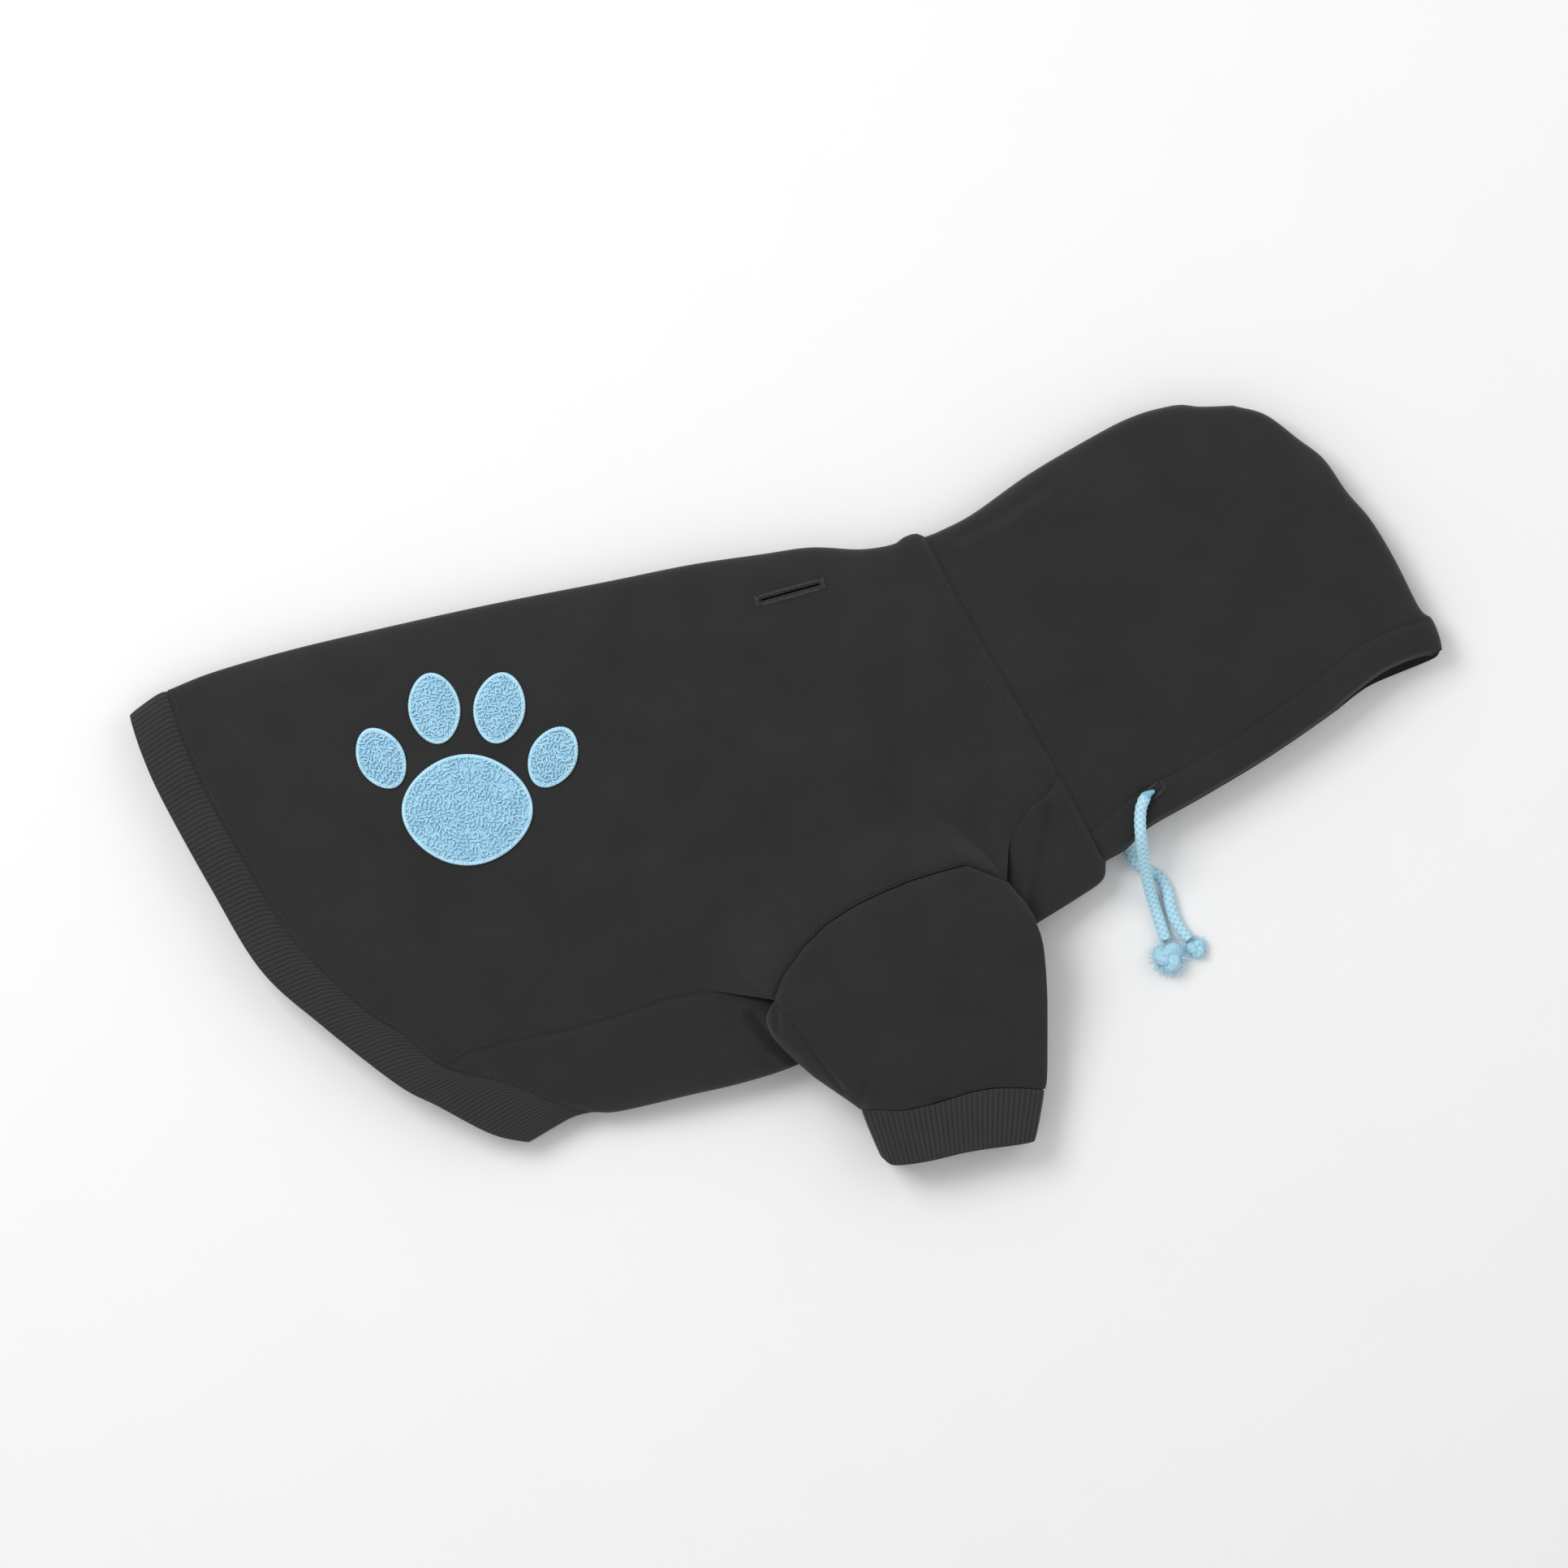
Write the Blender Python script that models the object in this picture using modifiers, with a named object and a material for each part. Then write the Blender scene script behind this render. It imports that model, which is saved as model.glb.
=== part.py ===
"""Dog hoodie lying on its left side: the hood points along +X and the back seam side along +Y.

The garment is a chain of flattened fleece tubes. The body tube runs from the ribbed hem band to the
neck seam, the two hood panels carry on from there to the front opening, and a sleeve with a ribbed
cuff leaves each armhole. Every edge of the plan is a table of shares of its own chord, and every
height is a share of the fold that it belongs to, so the shapes follow the sizes below.
"""
import math

import bmesh
import bpy
import numpy as np
from mathutils import Vector

# Plan sizes in metres, measured on the lying garment
BACK_LENGTH = 0.3815
NAPE_DROP = 0.0065
BODY_DEPTH = 0.249
HEM_SWEEP = 0.1615
NECK_SWEEP = 0.0528
NECK_DEPTH = 0.1755
HOOD_CREST = 0.1624
HOOD_RISE = 0.0307
HOOD_REACH = 0.2373
HOOD_DROP = 0.1091
BAND_DEPTH = 0.0226
UNDERARM_LENGTH = 0.0689
UNDERARM_SWEEP = 0.0297
CUFF_WIDTH = 0.0915
CUFF_SLANT = 0.0100
CUFF_DEPTH = 0.0250
CUFF_TAPER = 0.0150

# Cloth and heights in metres
FLEECE = 0.0020
RIB = 0.0026
SEAM_GAP = 0.0006
LIE_GAP = 0.0004
ARM_GAP = 0.0020
BODY_HEIGHT = 0.0280
HEM_HEIGHT = 0.0230
NECK_HEIGHT = 0.0255
HOOD_HEIGHT = 0.0270
HOOD_LIP = 0.0240
SLEEVE_HEIGHT = 0.0115
CUFF_HEIGHT = 0.0130
SLEEVE_REST = SLEEVE_HEIGHT + LIE_GAP
CORD_RAISE = 0.0065
CREST_GAP = 0.0015
FOLD_POWER = 3.0
FOLD_SPREAD = 2.0
SLEEVE_FOLD = 0.22
SLEEVE_POWER = 2.4
ARM_EASE = 0.05
LIFT_EASE = 0.10
SEAM_EASE = 0.13
RAISE_REACH = 0.16
THROAT_REACH = 0.15
LEAVES_BACK = 0.45
LEAVES_FRONT = 0.25
HOOD_FOLD = 0.090
FLOOR_PRESS = 1.08

# Trim in metres
SLIT_LENGTH = 0.0300
SLIT_WIDTH = 0.0030
SLIT_TILT = 12.0
CORD_POINTS = 26
CORD_DIAMETER = 0.0060
KNOT_SIZE = 0.0165
TAIL_KNOT_SIZE = 0.0105
PAD_SIZE = 0.0640
TOE_SIZE = 0.0340
PATCH_THICKNESS = 0.0026
PAD_LENGTH = 0.0540
TOE_WIDTH = 0.0240
KNOT_FLATNESS = 0.7

# Fineness of the lofts
HEM_ROWS = 10
ARM_ROWS = 14
CHEST_ROWS = 4
BACK_COLUMNS = 12
BELLY_COLUMNS = 8
HOOD_ROWS = 12
SLEEVE_ROWS = 7
CUFF_ROWS = 3
BAND_ROWS = 3
CURVE_STEPS = 60

# Edges of the plan: (along, out) are shares of the edge's chord, out lies to its left
BACK_EDGE = [(0.061, 0.011), (0.159, 0.019), (0.267, 0.023), (0.428, 0.026), (0.588, 0.025),
             (0.695, 0.025), (0.790, 0.020), (0.853, 0.016), (0.915, 0.001), (0.957, -0.001),
             (0.972, 0.005), (0.989, 0.007)]
HEM_EDGE = [(0.076, -0.039), (0.169, -0.076), (0.293, -0.112), (0.389, -0.137), (0.456, -0.149),
            (0.546, -0.150), (0.621, -0.146), (0.686, -0.131), (0.766, -0.123), (0.863, -0.068),
            (0.947, -0.033)]
NECK_EDGE = [(0.120, -0.004), (0.281, -0.007), (0.672, 0.000)]
BELLY_EDGE = [(0.042, -0.018), (0.163, -0.046), (0.263, -0.069), (0.365, -0.082), (0.525, -0.078),
              (0.694, -0.061), (0.842, -0.044), (0.930, -0.036), (0.981, -0.027)]
BAND_EDGE = [(0.067, -0.029), (0.148, -0.056), (0.309, -0.096), (0.474, -0.130), (0.615, -0.118),
             (0.774, -0.093), (0.850, -0.067), (0.943, -0.035)]
BAND_BACK_SIDE = [(0.250, -0.045)]
BAND_BELLY_SIDE = [(0.270, -0.066), (0.600, -0.050)]
CREST_EDGE = [(0.052, -0.001), (0.161, 0.008), (0.365, 0.052), (0.614, 0.083), (0.722, 0.087),
              (0.797, 0.078), (0.856, 0.064), (0.910, 0.035)]
BROW_EDGE = [(0.087, 0.058), (0.210, 0.086), (0.310, 0.106), (0.433, 0.094), (0.549, 0.094),
             (0.694, 0.070), (0.854, 0.031), (0.906, 0.038), (0.966, 0.019)]
LOW_FRONT = [(0.064, -0.001), (0.134, 0.015), (0.287, 0.008), (0.477, 0.004), (0.673, 0.008),
             (0.763, 0.017), (0.822, 0.016), (0.942, -0.004), (0.981, -0.007)]
TOP_FRONT = [(0.064, -0.001), (0.134, 0.015), (0.287, 0.008), (0.477, 0.004), (0.674, 0.012),
             (0.729, 0.021), (0.831, 0.030), (0.910, 0.021), (0.971, 0.004)]
SLEEVE_BACK = [(0.065, -0.124), (0.205, -0.167), (0.406, -0.150), (0.580, -0.121), (0.710, -0.086),
               (0.916, -0.024)]
SLEEVE_FRONT = [(0.144, 0.079), (0.225, 0.101), (0.331, 0.112), (0.541, 0.092), (0.805, 0.047),
                (0.947, 0.019)]
CUFF_SEAM = [(0.105, -0.012), (0.213, -0.027), (0.390, -0.011), (0.614, 0.031), (0.791, 0.034)]
CUFF_END = [(0.059, -0.044), (0.162, -0.052), (0.329, -0.043), (0.593, -0.012)]

# Seams on the body: (along the back, down the side) as shares of the body's patch
BELLY_SEAM = [(0.000, 0.749), (0.053, 0.736), (0.100, 0.737), (0.187, 0.753), (0.259, 0.756),
              (0.333, 0.756), (0.392, 0.781), (0.435, 0.855)]
ARMHOLE_TOP = [(0.435, 0.855), (0.481, 0.814), (0.539, 0.779), (0.589, 0.760), (0.637, 0.755),
               (0.683, 0.759), (0.725, 0.766), (0.765, 0.779), (0.803, 0.796), (0.835, 0.877)]
ARMHOLE_BOTTOM = [(0.435, 0.855), (0.466, 0.885), (0.543, 0.898), (0.643, 0.901), (0.727, 0.902),
                  (0.798, 0.896), (0.835, 0.877)]
CHEST_SEAM = [(0.835, 0.877), (0.870, 0.808), (0.895, 0.771), (0.935, 0.738), (1.000, 0.732)]

# Dents of the cloth: centre as (along, down) shares, turn in degrees, half sizes and depth in metres
DENTS = [
    {"along": 0.905, "down": 0.860, "turn": -67.0, "length": 0.028, "width": 0.006, "depth": 0.0020},
    {"along": 0.384, "down": 0.905, "turn": -50.0, "length": 0.018, "width": 0.006, "depth": 0.0030},
    {"along": 0.300, "down": 0.860, "turn": 10.0, "length": 0.050, "width": 0.012, "depth": 0.0014},
    {"along": 0.620, "down": 0.560, "turn": 15.0, "length": 0.070, "width": 0.022, "depth": 0.0012},
    {"along": 0.120, "down": 0.300, "turn": -60.0, "length": 0.050, "width": 0.018, "depth": 0.0010},
]

# The slit and the patch on the body's patch of shares
SLIT_PLACE = {"along": 0.797, "down": 0.096, "turn": 3.0}
PAD_PLACE = {"along": 0.290, "down": 0.325}
TOES = [
    {"across": -0.66, "up": 0.40, "turn": 28.0, "share": 0.90},
    {"across": -0.25, "up": 0.78, "turn": 9.0, "share": 1.00},
    {"across": 0.25, "up": 0.78, "turn": -9.0, "share": 1.00},
    {"across": 0.66, "up": 0.40, "turn": -28.0, "share": 0.90},
]
PAW_TURN = -12.0

# Routes of the drawcord's free ends, metres from the back's hem corner, kept as chosen
RIGHT_CORD = [
    (0.4644, -0.1529, 0.0283), (0.4600, -0.1546, 0.0284), (0.4565, -0.1590, 0.0283),
    (0.4545, -0.1650, 0.0279), (0.4533, -0.1717, 0.0275), (0.4528, -0.1780, 0.0242),
    (0.4526, -0.1842, 0.0190), (0.4525, -0.1905, 0.0141), (0.4526, -0.1970, 0.0099),
    (0.4530, -0.2035, 0.0064), (0.4537, -0.2100, 0.0040), (0.4544, -0.2165, 0.0032),
    (0.4550, -0.2225, 0.0031), (0.4554, -0.2270, 0.0033),
]
LEFT_CORD = [
    (0.4644, -0.1560, 0.0031), (0.4590, -0.1585, 0.0031), (0.4535, -0.1635, 0.0031),
    (0.4492, -0.1700, 0.0031), (0.4474, -0.1765, 0.0031), (0.4478, -0.1830, 0.0031),
    (0.4506, -0.1878, 0.0031), (0.4552, -0.1915, 0.0031), (0.4596, -0.1965, 0.0031),
    (0.4614, -0.2030, 0.0031), (0.4614, -0.2100, 0.0031), (0.4620, -0.2170, 0.0031),
    (0.4640, -0.2235, 0.0031), (0.4668, -0.2290, 0.0031),
]
RIGHT_KNOT = (0.4550, -0.2351)
LEFT_KNOT = (0.4696, -0.2339)

BLACK_FLEECE = (0.023, 0.023, 0.024)
BLACK_RIB = (0.028, 0.028, 0.029)
SKY_BLUE = (0.402, 0.679, 0.831)


def spline(points, per_span=12):
    """Curve through the points as a function of its length share."""
    held = np.array(points, float)
    held = np.vstack([2 * held[0] - held[1], held, 2 * held[-1] - held[-2]])
    drawn = []
    for start in range(len(points) - 1):
        before, first, second, after = held[start:start + 4]
        for step in range(per_span):
            u = step / per_span
            drawn.append(0.5 * (2 * first + (second - before) * u
                                + (2 * before - 5 * first + 4 * second - after) * u ** 2
                                + (3 * first - before - 3 * second + after) * u ** 3))
    drawn.append(held[-2])
    drawn = np.array(drawn)
    steps = np.linalg.norm(np.diff(drawn, axis=0), axis=1)
    reached = np.concatenate([[0.0], np.cumsum(steps)]) / steps.sum()

    def at(share):
        return np.stack([np.interp(share, reached, drawn[:, axis])
                         for axis in range(drawn.shape[1])], -1)
    return at


def edge(start, end, shares):
    """Curve from start to end that bows out by shares of its chord."""
    start = np.array(start, float)
    chord = np.array(end, float) - start
    left = np.array([-chord[1], chord[0]])
    inner = [start + along * chord + out * left for along, out in shares]
    return spline([start, *inner, start + chord])


def patch(top, bottom, first, last):
    """Plan patch: (s, t) runs s along the top and bottom edges and t from the top to the bottom."""
    def at(s, t):
        s = np.asarray(s, float)
        t = np.asarray(t, float)
        across = s[..., None]
        down = t[..., None]
        ruled = (1 - down) * top(s) + down * bottom(s) + (1 - across) * first(t) + across * last(t)
        corners = ((1 - across) * (1 - down) * top(0.0) + across * (1 - down) * top(1.0)
                   + (1 - across) * down * bottom(0.0) + across * down * bottom(1.0))
        return ruled - corners
    return at


def smooth(value, low, high):
    """Smooth step from 0 at low to 1 at high."""
    share = np.clip((np.asarray(value, float) - low) / (high - low), 0.0, 1.0)
    return share * share * (3 - 2 * share)


def fold(share, power=FOLD_POWER):
    """Height share of a fold's round side: 0 on the fold, 1 from share 1 on."""
    inside = 1 - np.clip(share, 0.0, 1.0)
    return (1 - inside ** power) ** (1 / power)


def pressed(share):
    """Height share of a lower layer, which lies flat where it meets the floor."""
    return np.minimum(1.0, share * FLOOR_PRESS)


# Corners and edges of the plan
HEM_BACK = np.array([0.0, 0.0])
HEM_BELLY = np.array([HEM_SWEEP, -BODY_DEPTH])
NAPE = np.array([BACK_LENGTH, -NAPE_DROP])
THROAT = NAPE + np.array([NECK_SWEEP, -NECK_DEPTH])
CREST = NAPE + np.array([HOOD_CREST, HOOD_RISE])
TIP = NAPE + np.array([HOOD_REACH, -HOOD_DROP])
BAND_BACK = HEM_BACK + BAND_DEPTH * np.array([-0.942, -0.336])
BAND_BELLY = HEM_BELLY + BAND_DEPTH * np.array([-1.571, -0.354])

body_plan = patch(edge(HEM_BACK, NAPE, BACK_EDGE), edge(HEM_BELLY, THROAT, BELLY_EDGE),
                  edge(HEM_BACK, HEM_BELLY, HEM_EDGE), edge(NAPE, THROAT, NECK_EDGE))


def hood_plan(front_shares):
    """Hood patch: s runs from the neck seam to the brow, t from the crest down to the front."""
    return patch(edge(NAPE, CREST, CREST_EDGE), edge(THROAT, TIP, front_shares),
                 edge(NAPE, THROAT, NECK_EDGE), edge(CREST, TIP, BROW_EDGE))


def seam_down(along, *tables):
    """How far down the side the seam lies at a share along the back."""
    rows = sorted({row for table in tables for row in table})
    return np.interp(along, [row[0] for row in rows], [row[1] for row in rows])


ARM_START = ARMHOLE_TOP[0][0]
ARM_END = ARMHOLE_TOP[-1][0]


def sleeve_round(t):
    """Height share across a sleeve or cuff, round on both of its folds."""
    return fold(t / SLEEVE_FOLD, SLEEVE_POWER) * fold((1 - t) / SLEEVE_FOLD, SLEEVE_POWER)


def arm_share(s):
    """Share along the armhole at a share along the back."""
    return np.clip((s - ARM_START) / (ARM_END - ARM_START), 0.0, 1.0)


def arm_reach(s, ease):
    """Share that is 1 along the armhole and eases out to 0 beyond its corners."""
    return smooth(s, ARM_START - ease, ARM_START) * (1 - smooth(s, ARM_END, ARM_END + ease))


def within_arm(s):
    """True where a row of the body crosses the armhole."""
    return (s >= ARM_START - 1e-6) & (s <= ARM_END + 1e-6)


def dent_depth(points):
    """Depth of all dents at plan points."""
    depth = np.zeros(points.shape[:-1])
    for row in DENTS:
        offset = points - body_plan(row["along"], row["down"])
        turn = math.radians(row["turn"])
        along = offset[..., 0] * math.cos(turn) + offset[..., 1] * math.sin(turn)
        across = offset[..., 1] * math.cos(turn) - offset[..., 0] * math.sin(turn)
        depth += row["depth"] * np.exp(-(along / row["length"]) ** 2 - (across / row["width"]) ** 2)
    return depth


def plateau(s):
    """Level of the body's upper side along the back, lower at the hem band and the neck."""
    return (HEM_HEIGHT + (BODY_HEIGHT - HEM_HEIGHT) * smooth(s, 0.0, 0.16)
            + (NECK_HEIGHT - BODY_HEIGHT) * smooth(s, 0.88, 1.0))


def back_raise(s, t):
    """How far the back panel climbs to meet the upper layer of the sleeve that lies on the belly."""
    line = seam_down(s, BELLY_SEAM, ARMHOLE_TOP, CHEST_SEAM)
    rim = LIE_GAP + SLEEVE_HEIGHT / 2 * (1 + sleeve_round(arm_share(s)))
    return rim * arm_reach(s, ARM_EASE) * smooth(t, line - RAISE_REACH, line)


def belly_lift(s, t):
    """How far the belly panel lies off the floor, on the lower sleeve."""
    line = seam_down(s, BELLY_SEAM, ARMHOLE_BOTTOM, CHEST_SEAM)
    reach = arm_reach(s, LIFT_EASE)
    eased = np.where(within_arm(s), 1.0, smooth(t, line, line + SEAM_EASE))
    return SLEEVE_REST * reach * eased


def body_surface(s, t, side, panel):
    """Outer skin of a panel of the body: side 1 is the upper layer and -1 the lower."""
    s = np.asarray(s, float)
    t = np.asarray(t, float)
    points = body_plan(s, t)
    share = fold(2 * t) * fold(2 * (1 - t))
    low = belly_lift(s, t) if panel == "belly" else np.zeros_like(t)
    fold_low = SLEEVE_REST * smooth(t, 0.5, 1.0) * arm_reach(s, LIFT_EASE)
    high = plateau(s)
    middle = (fold_low + high) / 2
    if side > 0:
        height = middle + (high - middle) * share - dent_depth(points) * share
        if panel == "back":
            height = height + back_raise(s, t)
    else:
        height = middle - (middle - low) * pressed(share)
    return np.concatenate([points, height[..., None]], -1)


def body_shares(point):
    """Shares of the body patch at a plan point, found by Newton's steps."""
    s = 0.5
    t = 0.5
    step = 1e-4
    for _ in range(20):
        miss = body_plan(s, t) - point
        slope = np.stack([(body_plan(s + step, t) - body_plan(s - step, t)) / (2 * step),
                          (body_plan(s, t + step) - body_plan(s, t - step)) / (2 * step)], -1)
        change = np.linalg.solve(slope, -miss)
        s = float(np.clip(s + change[0], 0.01, 0.99))
        t = float(np.clip(t + change[1], 0.01, 0.99))
    return s, t


def body_top(point):
    """Height of the back panel's upper skin at a plan point."""
    s, t = body_shares(point)
    return float(body_surface(s, t, 1, "back")[2])


def clear_parts():
    """Remove every object of the open file."""
    for thing in list(bpy.data.objects):
        bpy.data.objects.remove(thing)


def collection(name):
    """New collection linked to the scene."""
    made = bpy.data.collections.new(name)
    bpy.context.scene.collection.children.link(made)
    return made


def finish(name, colour, roughness):
    """Principled material of one cloth."""
    material = bpy.data.materials.new(name)
    material.use_nodes = True
    shader = material.node_tree.nodes["Principled BSDF"]
    shader.inputs["Base Color"].default_value = (*colour, 1.0)
    shader.inputs["Roughness"].default_value = roughness
    shader.inputs["Metallic"].default_value = 0.0
    return material


def add_object(name, mesh, group, material):
    """Object of a mesh in its collection, shaded smooth."""
    thing = bpy.data.objects.new(name, mesh)
    group.objects.link(thing)
    mesh.materials.append(material)
    mesh.shade_smooth()
    mesh.set_sharp_from_angle(angle=math.radians(50))
    return thing


def loft(name, rows, closed, group, material, wall):
    """Skin through rows of points, given its wall towards the inside by Solidify."""
    build = bmesh.new()
    grid = [[build.verts.new(Vector(point)) for point in row] for row in rows]
    count = len(grid[0])
    for lower, upper in zip(grid, grid[1:]):
        for index in range(count if closed else count - 1):
            after = (index + 1) % count
            build.faces.new((lower[index], upper[index], upper[after], lower[after]))
    mesh = bpy.data.meshes.new(name)
    build.to_mesh(mesh)
    build.free()
    thing = add_object(name, mesh, group, material)
    shell = thing.modifiers.new("wall", "SOLIDIFY")
    shell.thickness = wall
    shell.offset = -1.0
    shell.use_even_offset = True
    return thing


def fold_steps(count):
    """Shares from 0 to 1 that stand closer together at 0, where the cloth folds over."""
    return np.linspace(0.0, 1.0, count + 1) ** FOLD_SPREAD


def both_folds(count):
    """Shares from 0 to 1 that stand closer together at both ends."""
    half = fold_steps(count // 2) / 2
    return np.concatenate([half, 1 - half[-2::-1]])


def arm_rows():
    """Shares along the back of the rows that cross the armhole."""
    return ARM_START + (ARM_END - ARM_START) * both_folds(ARM_ROWS)


def body_rows():
    """Shares along the back of all rows of the body."""
    return np.concatenate([np.linspace(0.0, ARM_START, HEM_ROWS, endpoint=False), arm_rows(),
                           np.linspace(ARM_END, 1.0, CHEST_ROWS + 1)[1:]])


def back_steps(line):
    """Shares down the side from the back fold to the seam."""
    return fold_steps(BACK_COLUMNS) * line


def belly_steps(line):
    """Shares down the side from the belly fold up to the seam."""
    return 1 - fold_steps(BELLY_COLUMNS) * (1 - line)


def ring_steps(line):
    """Shares down the side at the hem and the neck, where both panels end."""
    return np.concatenate([back_steps(line), belly_steps(line)[-2::-1]])


def unit(vectors):
    """Vectors of length one."""
    return vectors / np.linalg.norm(vectors, axis=-1, keepdims=True)


def drawn_back(points, towards, gap=SEAM_GAP):
    """Row of points moved off the seam that it follows, square to it, by half the seam's gap."""
    seam = unit(np.gradient(points, axis=0))
    away = towards - points
    away = away - (away * seam).sum(-1, keepdims=True) * seam
    return points + unit(away) * (gap / 2)


def trim_sides(row):
    """Row whose first and last point stand back from the seams there."""
    row[0] += unit(row[1] - row[0]) * (SEAM_GAP / 2)
    row[-1] += unit(row[-2] - row[-1]) * (SEAM_GAP / 2)
    return row


def trim_ends(rows, start_gap=SEAM_GAP):
    """Rows of which the first and the last stand back from the seams there."""
    rows[0] = drawn_back(rows[0], rows[1], start_gap)
    rows[-1] = drawn_back(rows[-1], rows[-2])
    return rows


def make_back_panel(group, material):
    """Back panel: over the back fold and down both sides to the seams."""
    rows = []
    for s in body_rows():
        down = back_steps(seam_down(s, BELLY_SEAM, ARMHOLE_TOP, CHEST_SEAM))
        along = np.full(len(down), s)
        upper = body_surface(along, down, 1, "back")
        lower = body_surface(along, down, -1, "back")
        rows.append(trim_sides(np.concatenate([upper[::-1], lower[1:]])))
    return loft("back_panel", trim_ends(rows), False, group, material, FLEECE)


def make_belly_panel(group, material):
    """Belly panel: round the belly fold and up both sides to the seams and armholes."""
    rows = []
    for s in body_rows():
        down = belly_steps(seam_down(s, BELLY_SEAM, ARMHOLE_BOTTOM, CHEST_SEAM))
        along = np.full(len(down), s)
        upper = body_surface(along, down, 1, "belly")
        lower = body_surface(along, down, -1, "belly")
        rows.append(trim_sides(np.concatenate([lower[::-1], upper[1:]])))
    return loft("belly_panel", trim_ends(rows), False, group, material, FLEECE)


def reach_from(points, line):
    """Distance of plan points from a plan line of many short spans."""
    starts = line[:-1]
    spans = line[1:] - starts
    offset = points[..., None, :] - starts
    share = np.clip((offset * spans).sum(-1) / (spans * spans).sum(-1), 0.0, 1.0)
    return np.linalg.norm(offset - share[..., None] * spans, axis=-1).min(-1)


def cord_raise(points):
    """How far the hood's lower layer lies off the floor over the left cord."""
    route = spline([point[:2] for point in LEFT_CORD[:6]])(np.linspace(0.0, 1.0, CURVE_STEPS))
    near = reach_from(points, route)
    return CORD_RAISE * (1 - smooth(near, 2.5 * CORD_DIAMETER, 6 * CORD_DIAMETER))


def crest_line():
    """Plan line of the seam over the top of the hood, from the nape to the tip."""
    steps = np.linspace(0.0, 1.0, CURVE_STEPS)
    return np.vstack([edge(NAPE, CREST, CREST_EDGE)(steps),
                      edge(CREST, TIP, BROW_EDGE)(steps[1:])])


def hood_surface(s, t, side):
    """Outer skin of a hood panel: s from the neck to the brow, t from the crest to the front."""
    s = np.asarray(s, float)
    t = np.asarray(t, float)
    points = hood_plan(TOP_FRONT if side > 0 else LOW_FRONT)(s, t)
    throat = fold(2 * (1 - t))
    throat = throat + (1 - throat) * smooth(s, 0.0, THROAT_REACH)
    share = fold(reach_from(points, crest_line()) / HOOD_FOLD) * throat
    open_up = smooth(s, 0.0, 0.3)
    high = NECK_HEIGHT + (HOOD_HEIGHT - NECK_HEIGHT) * open_up
    high = high + (HOOD_LIP - HOOD_HEIGHT) * open_up * smooth(t, 0.7, 1.0)
    middle = (NECK_HEIGHT + side * CREST_GAP) / 2
    if side > 0:
        height = middle + (high - middle) * share
    else:
        height = np.maximum(middle * (1 - pressed(share)), cord_raise(points))
    return np.concatenate([points, height[..., None]], -1)


def make_hood_panel(name, side, group, material):
    """One side of the hood, from the neck seam and the seam along the crest to the front edge."""
    along = np.concatenate([np.linspace(0.0, 0.5, HOOD_ROWS // 2, endpoint=False),
                            1 - fold_steps(HOOD_ROWS // 2)[::-1] / 2])
    down = ring_steps(seam_down(1.0, CHEST_SEAM))
    rows = [hood_surface(np.full(len(down), s), down, side)[::-side] for s in along]
    rows[0] = drawn_back(rows[0], rows[1])
    return loft(name, rows, False, group, material, FLEECE)


def armhole(table):
    """Plan curve of an armhole's edge, by shares along the armhole."""
    def at(share):
        along = ARM_START + (ARM_END - ARM_START) * np.asarray(share, float)
        return body_plan(along, seam_down(along, table))
    return at


def cuff_corners():
    """Back and front corner of the seam between sleeve and cuff."""
    fall = math.sqrt(UNDERARM_LENGTH ** 2 - UNDERARM_SWEEP ** 2)
    back = body_plan(*ARMHOLE_TOP[0]) + np.array([UNDERARM_SWEEP, -fall])
    front = back + np.array([math.sqrt(CUFF_WIDTH ** 2 - CUFF_SLANT ** 2), -CUFF_SLANT])
    return back, front


def sleeve_plan(table):
    """Sleeve patch: s runs from the back to the front, t from the armhole to the cuff."""
    back, front = cuff_corners()
    return patch(armhole(table), edge(back, front, CUFF_SEAM),
                 edge(body_plan(*table[0]), back, SLEEVE_BACK),
                 edge(body_plan(*table[-1]), front, SLEEVE_FRONT))


def cuff_plan():
    """Cuff patch: s runs from the back to the front, t from the seam to the cuff's end."""
    back, front = cuff_corners()
    run = (front - back) / CUFF_WIDTH
    out = np.array([run[1], -run[0]])
    end_back = back + out * CUFF_DEPTH + run * CUFF_TAPER * 0.5
    end_front = front + out * CUFF_DEPTH - run * CUFF_TAPER * 0.5
    return patch(edge(back, front, CUFF_SEAM), edge(end_back, end_front, CUFF_END),
                 edge(back, end_back, []), edge(front, end_front, []))


def limb_base(s, t, layer):
    """Lowest level of a sleeve: the upper one lies on the body and comes down to the lower cuff."""
    if layer < 0:
        return np.zeros_like(s)
    leaves = LEAVES_BACK + (LEAVES_FRONT - LEAVES_BACK) * s
    high = BODY_HEIGHT + LIE_GAP
    return high + (CUFF_HEIGHT + LIE_GAP - high) * smooth(t, leaves - 0.05, 1.0)


def limb_surface(plan, s, base, height, up):
    """Outer skin of a sleeve or cuff: up is 1 for its upper side and -1 for its lower side."""
    share = sleeve_round(s)
    level = base + height / 2 + up * height / 2 * share
    return np.concatenate([plan, level[..., None]], -1)


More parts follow.
